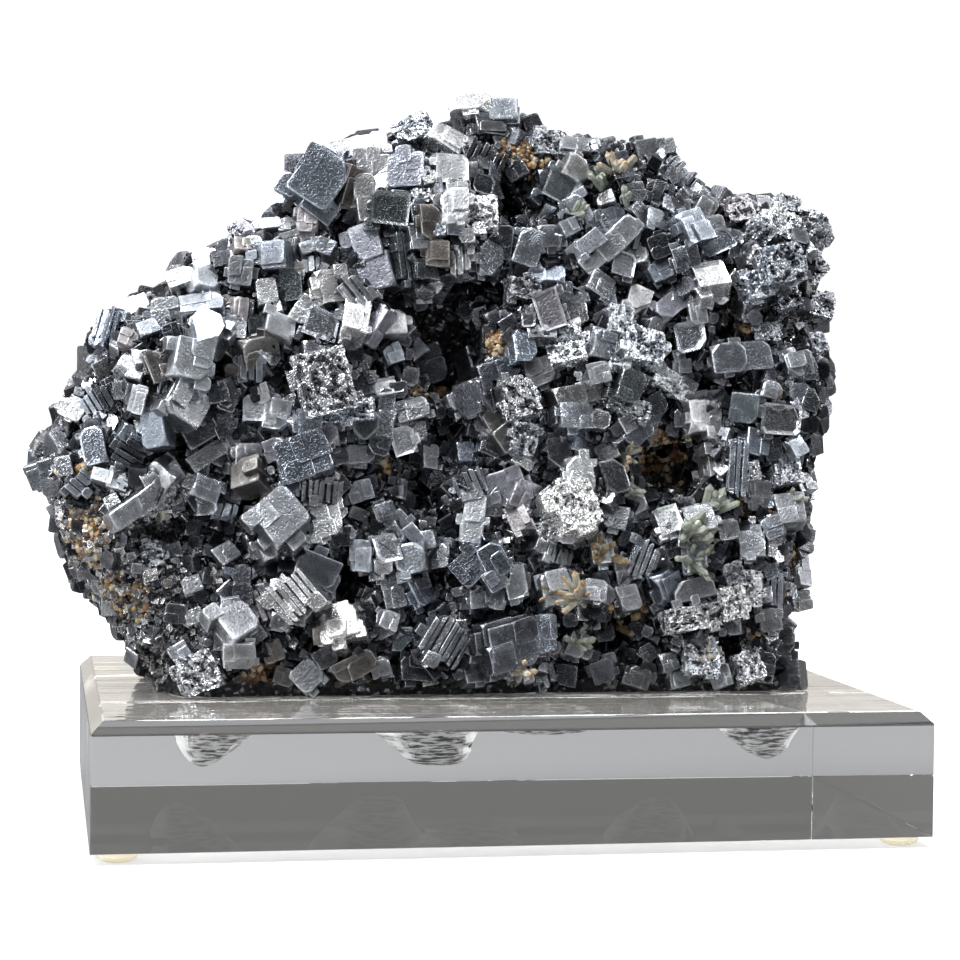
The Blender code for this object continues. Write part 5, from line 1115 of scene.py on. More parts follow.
@dataclass
class Rock:
    """The matrix that carries the crystals, with the same form as its solid and a finer surface."""

    outline: tuple[Point, ...] = OUTLINE
    depths: tuple[Row, ...] = MATRIX_DEPTHS
    hollows: tuple[Row, ...] = HOLLOWS
    swells: tuple[Row, ...] = SWELLS
    rim_share: float = 0.42
    rim_width: float = 15.0
    lump_spacing: float = 17.0
    lump_height: float = 2.6
    knob_spacing: float = 7.0
    knob_height: float = 1.5
    half_slab: float = 20.0
    form_voxel: float = 2.0
    fine_voxel: float = 1.05
    grain_spacing: float = 2.1
    grain_height: float = 0.95
    grit_height: float = 0.35
    seed: int = 7
    seat: float = 27.9
    bare_foot: float = 2.5
    sawn_x: float = -54.0
    sawn_y: float = 12.0
    sawn_z: float = 76.0
    sawn_sugar: float = 0.9
    sawn_bare: float = 0.55
    rust_bare: float = 0.75
    least_filler: float = 0.06

    def inside(self, points: np.ndarray) -> np.ndarray:
        """How far points of x and z lie inside the outline. It is 0 outside."""
        x, z = points[:, 0], points[:, 1]
        corners = np.array(self.outline)
        within = np.zeros(len(points), bool)
        nearest = np.full(len(points), np.inf)
        for (x0, z0), (x1, z1) in zip(corners, np.roll(corners, -1, axis=0)):
            crosses = (z0 > z) != (z1 > z)
            with np.errstate(divide="ignore", invalid="ignore"):
                left = x < x0 + (z - z0) / (z1 - z0) * (x1 - x0)
            within ^= crosses & left
            length = (x1 - x0) ** 2 + (z1 - z0) ** 2
            along = np.clip(((x - x0) * (x1 - x0) + (z - z0) * (z1 - z0)) / length, 0.0, 1.0)
            away = np.hypot(x - x0 - along * (x1 - x0), z - z0 - along * (z1 - z0))
            nearest = np.minimum(nearest, away)
        return np.where(within, nearest, 0.0)

    @staticmethod
    def strongest(features: tuple[Row, ...], points: np.ndarray) -> np.ndarray:
        """The largest rise, depth or share that round features give points of x and z."""
        largest = np.zeros(len(points))
        for centre_x, centre_z, half_width, half_height, amount in features:
            away = ((points[:, 0] - centre_x) / half_width) ** 2 + ((points[:, 1] - centre_z) / half_height) ** 2
            largest = np.maximum(largest, amount * np.sqrt(np.clip(1.0 - away, 0.0, 1.0)))
        return largest

    def swelled(self, co: np.ndarray) -> np.ndarray:
        """Points of the flat slab moved out to the front and back faces, in millimetres."""
        flat = co[:, [0, 2]]
        table = np.array(self.depths)
        front = np.interp(co[:, 2], table[:, 0], table[:, 1])
        back = np.interp(co[:, 2], table[:, 0], table[:, 2])
        middle = 0.5 * (front + back)
        share = np.clip(self.inside(flat) / self.rim_width, 0.0, 1.0)
        rise = self.rim_share + (1.0 - self.rim_share) * np.sqrt(share * (2.0 - share))
        relief = self.strongest(self.hollows, flat) - self.strongest(self.swells, flat)
        front_face = middle + (front - middle) * rise + relief
        back_face = middle + (back - middle) * rise
        side = np.clip(co[:, 1] / self.half_slab, -1.0, 1.0)
        face = np.where(side < 0.0, front_face, back_face)
        moved = co.copy()
        moved[:, 1] = middle + np.abs(side) * (face - middle)
        return moved

    def slab(self) -> Piece:
        """The outline as a closed slab."""
        curve = bpy.data.curves.new("outline", "CURVE")
        curve.dimensions = "2D"
        curve.fill_mode = "BOTH"
        curve.extrude = self.half_slab * MM
        spline = curve.splines.new("POLY")
        spline.points.add(len(self.outline) - 1)
        spline.use_cyclic_u = True
        for point, (x, z) in zip(spline.points, self.outline):
            point.co = (x * MM, z * MM, 0.0, 1.0)
        guide = linked("outline", curve)
        bpy.context.view_layer.update()
        mesh = applied(guide)
        bpy.data.objects.remove(guide, do_unlink=True)
        bm = bmesh.new()
        bm.from_mesh(mesh)
        bm.transform(Matrix.Rotation(math.radians(90.0), 4, "X"))
        bmesh.ops.remove_doubles(bm, verts=bm.verts, dist=0.01 * MM)
        bmesh.ops.recalc_face_normals(bm, faces=bm.faces)
        bm.to_mesh(mesh)
        bm.free()
        return linked("matrix_rock", mesh)

    @staticmethod
    def even(obj: Piece, voxel: float) -> None:
        """Gives a closed mesh even quads of this size."""
        remesh = obj.modifiers.new("even", "REMESH")
        remesh.mode = "VOXEL"
        remesh.voxel_size = voxel * MM
        obj.data = applied(obj)

    @staticmethod
    def places(mesh: bpy.types.Mesh) -> np.ndarray:
        """The mesh's points, in millimetres."""
        return read(mesh, "co").astype(np.float64) / MM

    @staticmethod
    def write(mesh: bpy.types.Mesh, co: np.ndarray) -> None:
        """Puts points in millimetres back into the mesh."""
        mesh.vertices.foreach_set("co", (co * MM).astype(np.float32).ravel())
        mesh.update()

    def build(self) -> Piece:
        """The rock as an object, not yet cut at its seat."""
        noise.seed_set(self.seed)
        obj = self.slab()
        self.even(obj, self.form_voxel)
        co = self.swelled(self.places(obj.data))
        for index, place in enumerate(map(Vector, co)):
            broad = noise.noise_vector(place / self.lump_spacing) * self.lump_height
            co[index] += broad + noise.noise_vector(place / self.knob_spacing) * self.knob_height
        self.write(obj.data, co)
        self.even(obj, self.fine_voxel)
        return obj

    def roughen(self, obj: Piece) -> None:
        """Raises grains and grit all over the rock."""
        co, normals = self.places(obj.data), read(obj.data, "normal")
        lift = np.empty(len(co))
        for index, place in enumerate(map(Vector, co)):
            near = noise.voronoi(place / self.grain_spacing)[0][0]
            grit = noise.noise(place / (0.45 * self.grain_spacing))
            lift[index] = self.grain_height * (0.45 - near) + self.grit_height * grit
        self.write(obj.data, co + normals * lift[:, None])

    def cut_seat(self, obj: Piece) -> None:
        """Cuts the rock flat where it stands on the block."""
        bm = bmesh.new()
        bm.from_mesh(obj.data)
        cut_below(bm, self.seat * MM)
        bmesh.ops.triangulate(bm, faces=[face for face in bm.faces if len(face.verts) > 4])
        bm.to_mesh(obj.data)
        bm.free()

    def share_out(self, obj: Piece) -> None:
        """Stores how readily small crystals, sugary druse, rusty grains and large crystals grow at each point.

        The lower left side is sawn: it is sugary and rusty, with few crystals.
        """
        mesh = obj.data
        co, out = self.places(mesh), read(mesh, "normal")[:, 1]
        flat = co[:, [0, 2]]

        def risen(values: np.ndarray, width: float) -> np.ndarray:
            """Shares that rise from 0 at a value of 0 to 1 at the width."""
            return np.clip(values / width, 0.0, 1.0)

        above = risen(co[:, 2] - self.seat - self.bare_foot, 2.0)
        front = risen(0.35 - out, 0.3) * above
        bare = np.clip(1.0 - self.strongest(CAVITIES, flat), self.least_filler, 1.0)
        rusty = self.strongest(RUST, flat)
        sawn = risen(self.sawn_x - co[:, 0], 6.0) * risen(self.sawn_z - co[:, 2], 6.0)
        sawn = sawn * risen(self.sawn_y - co[:, 1], 8.0) * above
        clean = 1.0 - self.rust_bare * np.clip(rusty, 0.0, 1.0)
        store(mesh, "filler", front * bare * clean * (1.0 - self.sawn_bare * sawn))
        store(mesh, "sugar", np.maximum(front * self.strongest(SUGAR, flat), self.sawn_sugar * sawn))
        store(mesh, "rust", np.maximum(front, sawn) * rusty)
        store(mesh, "shell", risen(out + 0.2, 0.4) * above * (1.0 - sawn))


@dataclass
class Eye:
    """The point from which the tables' places are read, and the plane that they are read on."""

    point: Vector = field(default_factory=lambda: Vector((-88.0, -540.0, 91.0)))
    plane: float = -22.0
    missed: float = -0.025

    def on(self, tree: BVHTree, x: float, z: float) -> Vector:
        """Where the rock is seen through a place of the reading plane, in millimetres."""
        seen = Vector((x, self.plane, z))
        place = tree.ray_cast(self.point * MM, (seen - self.point).normalized())[0]
        return place / MM if place else seen.lerp(self.point, self.missed)


@dataclass
class FrontCrystals:
    """The crystals of the front that can be told apart, with their satellites."""

    forge: CrystalForge
    eye: Eye
    tree: BVHTree
    seat: float
    proud_share: float = 0.40
    proud_least: float = 1.0
    satellite_area: float = 22.0
    satellite_cut: float = 0.22
    tilt_less: float = 8.0
    tilt_more: float = 16.0
    swing: float = 20.0
    depth_share: dict[Habit, float] = field(default_factory=lambda: {SLAB: 2.0, BAR: 1.3, STACK: 1.15})

    @staticmethod
    def turned(crystal: Crystal, more_tilt: float = 0.0, more_turn: float = 0.0) -> Matrix:
        """The rotation of a crystal: its roll as seen from the front, its tilt up and its turn."""
        roll = Matrix.Rotation(math.radians(-crystal.roll), 4, "Y")
        tilt = Matrix.Rotation(math.radians(-crystal.tilt - more_tilt), 4, "X")
        return roll @ tilt @ Matrix.Rotation(math.radians(crystal.turn + more_turn), 4, "Z")

    @staticmethod
    def tone_of(tone: Tone, chance: random.Random) -> Colour:
        """A tone with the small differences that crystals of one kind have."""
        red, green, blue, rough = tone.value
        shade = chance.uniform(0.72, 1.32)
        warm = chance.uniform(-0.03, 0.03)
        rough *= chance.uniform(0.8, 1.25)
        return (red * shade * (1 + warm), green * shade, blue * shade * (1 - warm), rough)

    def satellites(self, crystal: Crystal, depth: float, chance: random.Random) -> list[Part]:
        """Smaller crystals grown parallel on a large one's edges."""
        made = []
        smaller = min(crystal.width, crystal.height)
        for _ in range(chance.choice((2, 3, 4))):
            side = smaller * chance.uniform(0.28, 0.5)
            angle = chance.uniform(0.0, math.tau)
            reach = Vector((math.cos(angle), 0.0, math.sin(angle)))
            reach /= max(abs(reach.x) / crystal.width, abs(reach.z) / crystal.height) * 2.0
            shift = reach + Vector((0.0, chance.uniform(-0.35, 0.1) * depth, 0.0))
            sides = self.forge.drawn((side, side, side), chance, 1.0, (0.8, 1.2), (0.7, 1.2))
            made.append((self.forge.block(sides, self.satellite_cut, chance), shift))
        return made

    def build(self, name: str, group: tuple[Crystal, ...], look: Look) -> Piece:
        """One object for a group of crystals.

        Args:
            name: The object's name, which also seeds its irregularities.
            group: The crystals.
            look: Their finish.

        Returns:
            The object.
        """
        chance = random.Random(name)
        made = MeshBin()
        for crystal in group:
            smaller = min(crystal.width, crystal.height)
            depth = smaller * self.depth_share.get(crystal.habit, 1.0)
            sunk = 0.5 * depth - self.proud_least - self.proud_share * smaller
            place = self.eye.on(self.tree, crystal.x, crystal.z) + Vector((0.0, sunk, 0.0))
            swing = chance.uniform(-self.tilt_less, self.tilt_more), chance.uniform(-self.swing, self.swing)
            placed = Matrix.Translation(place) @ self.turned(crystal, *swing)
            parts = self.forge.parts(crystal, depth, chance)
            if crystal.width * crystal.height > self.satellite_area:
                parts += self.satellites(crystal, depth, chance)
            tone = self.tone_of(crystal.tone, chance)
            sponge = float(crystal.habit is PITTED)
            for shape, shift in parts:
                shade = chance.uniform(0.88, 1.12)
                own_tone = (*(value * shade for value in tone[:3]), tone[3])
                made.add(shape, placed @ Matrix.Translation(shift), own_tone, self.seat, sponge)
        return made.to_object(name, look)


@dataclass
class ShellCrystals:
    """Crystals of the sides and the back, at the places that the solid has them."""

    forge: CrystalForge
    tree: BVHTree
    seat: float
    seed: int = 41
    tries: int = 400
    spacing: float = 14.5
    least: float = 7.0
    most: float = 12.0
    turn: float = 40.0
    lowest: float = 34.0
    far: float = 200.0
    habits: tuple[Habit, ...] = (CUBE, CUBE, ROUND, HOPPER, STACK, BAR, PITTED)
    tones: tuple[Tone, ...] = (STEEL, PALE, BLUE, LAVENDER, DARK, PINK)

    def facings(self) -> list[Matrix]:
        """Places round the rock, each a matrix whose -Y points out of it."""
        chance = random.Random(self.seed)
        found: list[Matrix] = []
        for _ in range(self.tries):
            around = math.radians(chance.uniform(20.0, 160.0))
            target = Vector((chance.uniform(-55.0, 55.0), 0.0, chance.uniform(30.0, 130.0)))
            outward = Vector((math.cos(around), math.sin(around), chance.uniform(-0.3, 0.9))).normalized()
            place = self.tree.ray_cast((target + outward * self.far) * MM, -outward)[0]
            if not place or place.z < self.lowest * MM:
                continue
            place /= MM
            if all((place - facing.translation).length > self.spacing for facing in found):
                turn = (-outward).to_track_quat("Y", "Z").to_matrix().to_4x4()
                found.append(Matrix.Translation(place) @ turn)
        return found

    def build(self, name: str, look: Look) -> Piece:
        """All of them as one object."""
        chance, looks = random.Random(self.seed), random.Random(name)
        made = MeshBin()
        for facing in self.facings():
            size = chance.uniform(self.least, self.most)
            height = size * chance.uniform(0.6, 1.0)
            turns = [chance.uniform(-self.turn, self.turn) for _ in range(3)]
            crystal = Crystal(0.0, 0.0, size, height, *turns, looks.choice(self.habits), looks.choice(self.tones))
            sunk = Matrix.Translation((0.0, 0.12 * height - 1.0, 0.0))
            placed = facing @ sunk @ FrontCrystals.turned(crystal)
            tone = FrontCrystals.tone_of(crystal.tone, looks)
            sponge = float(crystal.habit is PITTED)
            for shape, shift in self.forge.parts(crystal, height, looks):
                made.add(shape, placed @ Matrix.Translation(shift), tone, self.seat, sponge)
        return made.to_object(name, look)


@dataclass
class Druse:
    """Small crystals or grains strewn over the rock where a stored share allows them.

    The tree takes the rock, a collection of shapes, the name of the share, the spacing, the sizes and a seed.
    """

    name: str
    zone: str
    shapes: bpy.types.Collection
    look: Look
    spacing: float
    least: float
    most: float
    seed: int
    tones: tuple[Colour, ...]
    densest: float = 4.0e6
    small_power: float = 1.8

    def tree(self) -> bpy.types.NodeTree:
        """Builds the node tree."""
        tree = bpy.data.node_groups.new(self.name, "GeometryNodeTree")
        face = tree.interface
        face.new_socket("Geometry", in_out="OUTPUT", socket_type="NodeSocketGeometry")
        for label, kind in (
            ("Geometry", "Geometry"), ("Shapes", "Collection"), ("Material", "Material"), ("Zone", "String"),
            ("Spacing", "Float"), ("Least", "Float"), ("Most", "Float"), ("Seed", "Int"),
        ):
            face.new_socket(label, in_out="INPUT", socket_type="NodeSocket" + kind)
        graph = Graph(tree)
        given = graph.add("NodeGroupInput").outputs
        seed = given["Seed"]
        share = graph.add("GeometryNodeInputNamedAttribute", {"Name": given["Zone"]}, data_type="FLOAT")
        inputs = {
            "Mesh": given["Geometry"], "Distance Min": given["Spacing"], "Density Max": self.densest,
            "Density Factor": share.outputs["Attribute"], "Seed": seed,
        }
        points = graph.add("GeometryNodeDistributePointsOnFaces", inputs, distribute_method="POISSON")
        inputs = {"Collection": given["Shapes"], "Separate Children": True, "Reset Children": True}
        shapes = graph.add("GeometryNodeCollectionInfo", inputs)
        inputs = {"Max": (math.tau, math.tau, math.tau), "Seed": seed}
        turn = graph.add("FunctionNodeRandomValue", inputs, data_type="FLOAT_VECTOR")
        euler = graph.add("FunctionNodeEulerToRotation", {0: turn.outputs[0]})
        size = graph.add("FunctionNodeRandomValue", {2: 0.0, 3: 1.0, "Seed": seed}, data_type="FLOAT")
        small = graph.math("POWER", size.outputs[1], self.small_power)
        sized = graph.add("MapRange", {0: small, 3: given["Least"], 4: given["Most"]})
        inputs = {
            "Points": points.outputs["Points"], "Instance": shapes.outputs[0], "Pick Instance": True,
            "Rotation": euler.outputs[0], "Scale": sized.outputs[0],
        }
        copies = graph.add("GeometryNodeInstanceOnPoints", inputs)
        inputs = {2: 0.0, 3: 1.0, "Seed": self.seed + 1}
        chance = graph.add("FunctionNodeRandomValue", inputs, data_type="FLOAT").outputs[1]
        stops = [(index / (len(self.tones) - 1), tone) for index, tone in enumerate(self.tones)]
        inputs = {"Geometry": copies.outputs[0], "Name": "tone", "Value": graph.ramp(chance, *stops)}
        toned = graph.add("GeometryNodeStoreNamedAttribute", inputs, data_type="FLOAT_COLOR", domain="INSTANCE")
        real = graph.add("GeometryNodeRealizeInstances", {0: toned.outputs[0]})
        dressed = graph.add("GeometryNodeSetMaterial", {0: real.outputs[0], "Material": given["Material"]})
        graph.add("NodeGroupOutput", {0: dressed.outputs[0]})
        return tree

    def build(self, host: Piece) -> Piece:
        """Strews the shapes over the rock and keeps the result as a plain mesh.

        Args:
            host: The rock.

        Returns:
            The object.
        """
        holder = linked(self.name, host.data.copy())
        modifier = holder.modifiers.new("strew", "NODES")
        modifier.node_group = self.tree()
        values = {
            "Shapes": self.shapes, "Material": self.look, "Zone": self.zone, "Spacing": self.spacing * MM,
            "Least": self.least, "Most": self.most, "Seed": self.seed,
        }
        for item in modifier.node_group.interface.items_tree:
            if item.in_out == "INPUT" and item.name in values:
                modifier[item.identifier] = values[item.name]
        holder.update_tag()
        bpy.context.view_layer.update()
        holder.data = applied(holder)
        return holder


@dataclass
class SmallShapes:
    """Collections of unit shapes, a millimetre across, for the druses."""

    own_span: float = 3.0
    unit_span: float = 2.0

    @staticmethod
    def cube(index: int, chance: random.Random) -> Shape:
        """A little cube: the odd ones have cut corners, the even ones worn edges."""
        bm = unit_cube(chance.uniform(0.75, 1.2), chance.uniform(0.75, 1.2), 1.0)
        if index % 2:
            cut, kind, geometry = chance.uniform(0.14, 0.30), "VERTICES", bm.verts[:]
        else:
            cut, kind, geometry = 0.06, "EDGES", bm.edges[:]
        bmesh.ops.bevel(bm, geom=geometry, offset=cut, segments=1, affect=kind, clamp_overlap=True)
        return bm

    @staticmethod
    def bit(_index: int, chance: random.Random) -> Shape:
        """One of the smallest crystals: a plain skewed cube."""
        bm = unit_cube()
        for vertex in bm.verts:
            vertex.co *= chance.uniform(0.85, 1.1)
        bm.transform(Matrix.Diagonal((chance.uniform(0.6, 1.2), chance.uniform(0.7, 1.2), 1.0, 1.0)))
        return bm

    @staticmethod
    def grain(_index: int, chance: random.Random) -> Shape:
        """A little rounded grain."""
        bm = bmesh.new()
        bmesh.ops.create_icosphere(bm, subdivisions=1, radius=0.5)
        for vertex in bm.verts:
            vertex.co *= chance.uniform(0.75, 1.2)
        return bm

    def collect(self, name: str, count: int, seed: int, shape: Maker) -> bpy.types.Collection:
        """A collection that is not rendered, of shapes that store their own places.

        Args:
            name: The collection's name.
            count: How many shapes it holds.
            seed: The seed of their irregularities.
            shape: What makes a shape from its number and a source of chance.

        Returns:
            The collection.
        """
        chance = random.Random(seed)
        collection = bpy.data.collections.new(name)
        for index in range(count):
            bm = shape(index, chance)
            own = bm.verts.layers.float_vector.new("own_place")
            unit = bm.verts.layers.float_vector.new("unit_place")
            for vertex in bm.verts:
                vertex[own] = vertex.co * self.own_span
                vertex[unit] = vertex.co * self.unit_span
            bm.transform(Matrix.Scale(MM, 4))
            mesh = bpy.data.meshes.new(name)
            bm.to_mesh(mesh)
            bm.free()
            collection.objects.link(bpy.data.objects.new(f"{name}_{index}", mesh))
        return collection


@dataclass
class QuartzSprays:
    """The quartz that sits between the galena crystals."""

    eye: Eye
    tree: BVHTree
    sides: int = 6
    tip_share: float = 0.6
    root_share: float = 0.3
    proud: float = 1.4
    length_share: float = 1.3
    scatter: float = 0.8
    rough: float = 0.2

    def prism(self, length: float, thickness: float) -> Shape:
        """A six-sided prism along Z from its root, with a pointed end."""
        bm = bmesh.new()
        radius = 0.5 * thickness
        angles = [math.tau * i / self.sides for i in range(self.sides)]
        rings = [
            [bm.verts.new((radius * math.cos(angle), radius * math.sin(angle), height)) for angle in angles]
            for height in (-self.root_share * length, length - self.tip_share * thickness)
        ]
        tip = bm.verts.new((0.15 * radius, 0.1 * radius, length))
        for i in range(self.sides):
            j = (i + 1) % self.sides
            bm.faces.new((rings[0][i], rings[0][j], rings[1][j], rings[1][i]))
            bm.faces.new((rings[1][i], rings[1][j], tip))
        bm.faces.new(rings[0][::-1])
        return bm

    def build(self, name: str, sprays: tuple[Spray, ...], look: Look) -> Piece:
        """All sprays as one object."""
        chance = random.Random(name)
        made = MeshBin()
        for spray in sprays:
            root = self.eye.on(self.tree, spray.x, spray.z) - Vector((0.0, self.proud, 0.0))
            for _ in range(spray.count):
                length = self.length_share * spray.length * chance.uniform(0.6, 1.1)
                thick = spray.thickness * chance.uniform(0.7, 1.25)
                turn = math.radians(spray.lean + chance.uniform(-spray.spread, spray.spread))
                out = math.radians(chance.uniform(15.0, 80.0))
                way = Vector((math.sin(turn) * math.cos(out), -math.sin(out), math.cos(turn) * math.cos(out)))
                strewn = Vector((chance.uniform(-1, 1), 0.0, chance.uniform(-1, 1)))
                start = root + strewn * spray.thickness * self.scatter
                placed = Matrix.Translation(start) @ way.to_track_quat("Z", "X").to_matrix().to_4x4()
                shade = chance.uniform(0.8, 1.2)
                made.add(self.prism(length, thick), placed, (*(c * shade for c in spray.colour), self.rough))
        return made.to_object(name, look)


@dataclass
class DisplayBlock:
    """The clear block, with its chamfered top, rounded corners and ground pockets."""

    width: float = 169.0
    depth: float = 124.0
    bottom: float = 2.2
    top: float = 27.6
    centre_x: float = 6.4
    corner: float = 0.4
    chamfer: float = 2.5
    arris: float = 0.06
    softened: float = 0.22
    sides: int = 40
    rings: int = 12
    wobble: float = 0.16
    taper_power: float = 0.65
    least_radius: float = 0.3

    def slab(self) -> Shape:
        """The block before its pockets are cut."""
        height = self.top - self.bottom
        bm = bmesh.new()
        bmesh.ops.create_cube(bm, size=1.0, matrix=Matrix.Diagonal((self.width, self.depth, height, 1.0)))
        top = 0.5 * height
        cuts = ((top, self.chamfer), (top, self.softened), (top - self.chamfer, self.softened), (-top, self.arris))
        for level, offset in cuts:
            rim = [edge for edge in bm.edges if all(abs(vertex.co.z - level) < 0.01 for vertex in edge.verts)]
            bmesh.ops.bevel(bm, geom=rim, offset=offset, segments=1, affect="EDGES")
        upright = [edge for edge in bm.edges if abs(edge.verts[0].co.z - edge.verts[1].co.z) > top]
        bmesh.ops.bevel(bm, geom=upright, offset=self.corner, segments=3, profile=0.5, affect="EDGES")
        bm.transform(Matrix.Translation((self.centre_x, 0.0, 0.5 * (self.top + self.bottom))))
        return bm

    def pocket(self, row: Row, seed: int, clearance: float, above: float, wobble: float) -> Shape:
        """An uneven tapered plug with cutter steps.

        Args:
            row: Its x, y, mouth radius, floor radius, depth and the lean of its tip.
            seed: The seed of its unevenness.
            clearance: How far it is drawn in all round.
            above: The height that it reaches.
            wobble: How uneven it is, as a share of its radius.

        Returns:
            The closed shape, in millimetres.
        """
        x, y, mouth, floor, depth, lean = row
        base = self.top - depth + clearance
        start = Vector((seed * 7.3, seed * 3.1, 0.0))
        bm = bmesh.new()
        rings = []
        for level in range(self.rings + 1):
            share = level / self.rings
            z = base + share * (above - base)
            along = (z - (self.top - depth)) / depth
            radius = max(self.least_radius, floor + (mouth - floor) * along**self.taper_power - clearance)
            ring = []
            for side in range(self.sides):
                angle = math.tau * side / self.sides
                way = Vector((math.cos(angle), math.sin(angle), 0.0))
                swing = noise.noise(way * 1.6 + start + Vector((0, 0, share * 2.0)))
                step = noise.noise(Vector((share * 9.0, angle * 0.8, seed)))
                around = radius * (1.0 + wobble * (swing + 0.6 * step))
                ring.append(bm.verts.new((x + lean * (1.0 - share) + way.x * around, y + way.y * around, z)))
            rings.append(ring)
        for low, high in zip(rings, rings[1:]):
            for side in range(self.sides):
                nxt = (side + 1) % self.sides
                bm.faces.new((low[side], low[nxt], high[nxt], high[side]))
        bm.faces.new(rings[0][::-1])
        bm.faces.new(rings[-1])
        return bm

    def build(self, pockets: tuple[Row, ...], *looks: Look) -> Piece:
        """Cuts the pockets and dresses the faces.

        Args:
            pockets: Rows of x, y, mouth radius, floor radius, depth and the lean of the tip.
            looks: Those of the polished faces, of the pockets and of the top.

        Returns:
            The block.
        """
        block = self.to_object("display_block", self.slab(), looks, 0)
        for index, row in enumerate(pockets):
            plug = self.pocket(row, index, 0.0, self.top + 1.0, self.wobble)
            cutter = self.to_object(f"pocket_{index}", plug, looks, 1)
            modifier = block.modifiers.new("pocket", "BOOLEAN")
            modifier.solver = "EXACT"
            modifier.operation = "DIFFERENCE"
            modifier.object = cutter
            block.data = applied(block)
            bpy.data.objects.remove(cutter, do_unlink=True)
        for face in block.data.polygons:
            if face.normal.z > 0.99 and face.center.z > (self.top - 0.1) * MM:
                face.material_index = 2
        return block

    @staticmethod
    def to_object(name: str, bm: Shape, looks: tuple[Look, ...], index: int) -> Piece:
        """An object from a shape in millimetres, all its faces with one material index."""
        for face in bm.faces:
            face.material_index = index
        bm.transform(Matrix.Scale(MM, 4))
        mesh = bpy.data.meshes.new(name)
        bm.to_mesh(mesh)
        bm.free()
        for look in looks:
            mesh.materials.append(look)
        return linked(name, mesh)


@dataclass(frozen=True)
class SoftBox:
    """A rectangular light, in metres and watts."""

    name: str
    place: tuple[float, float, float]
    aim: tuple[float, float, float]
    width: float
    height: float
    watts: float


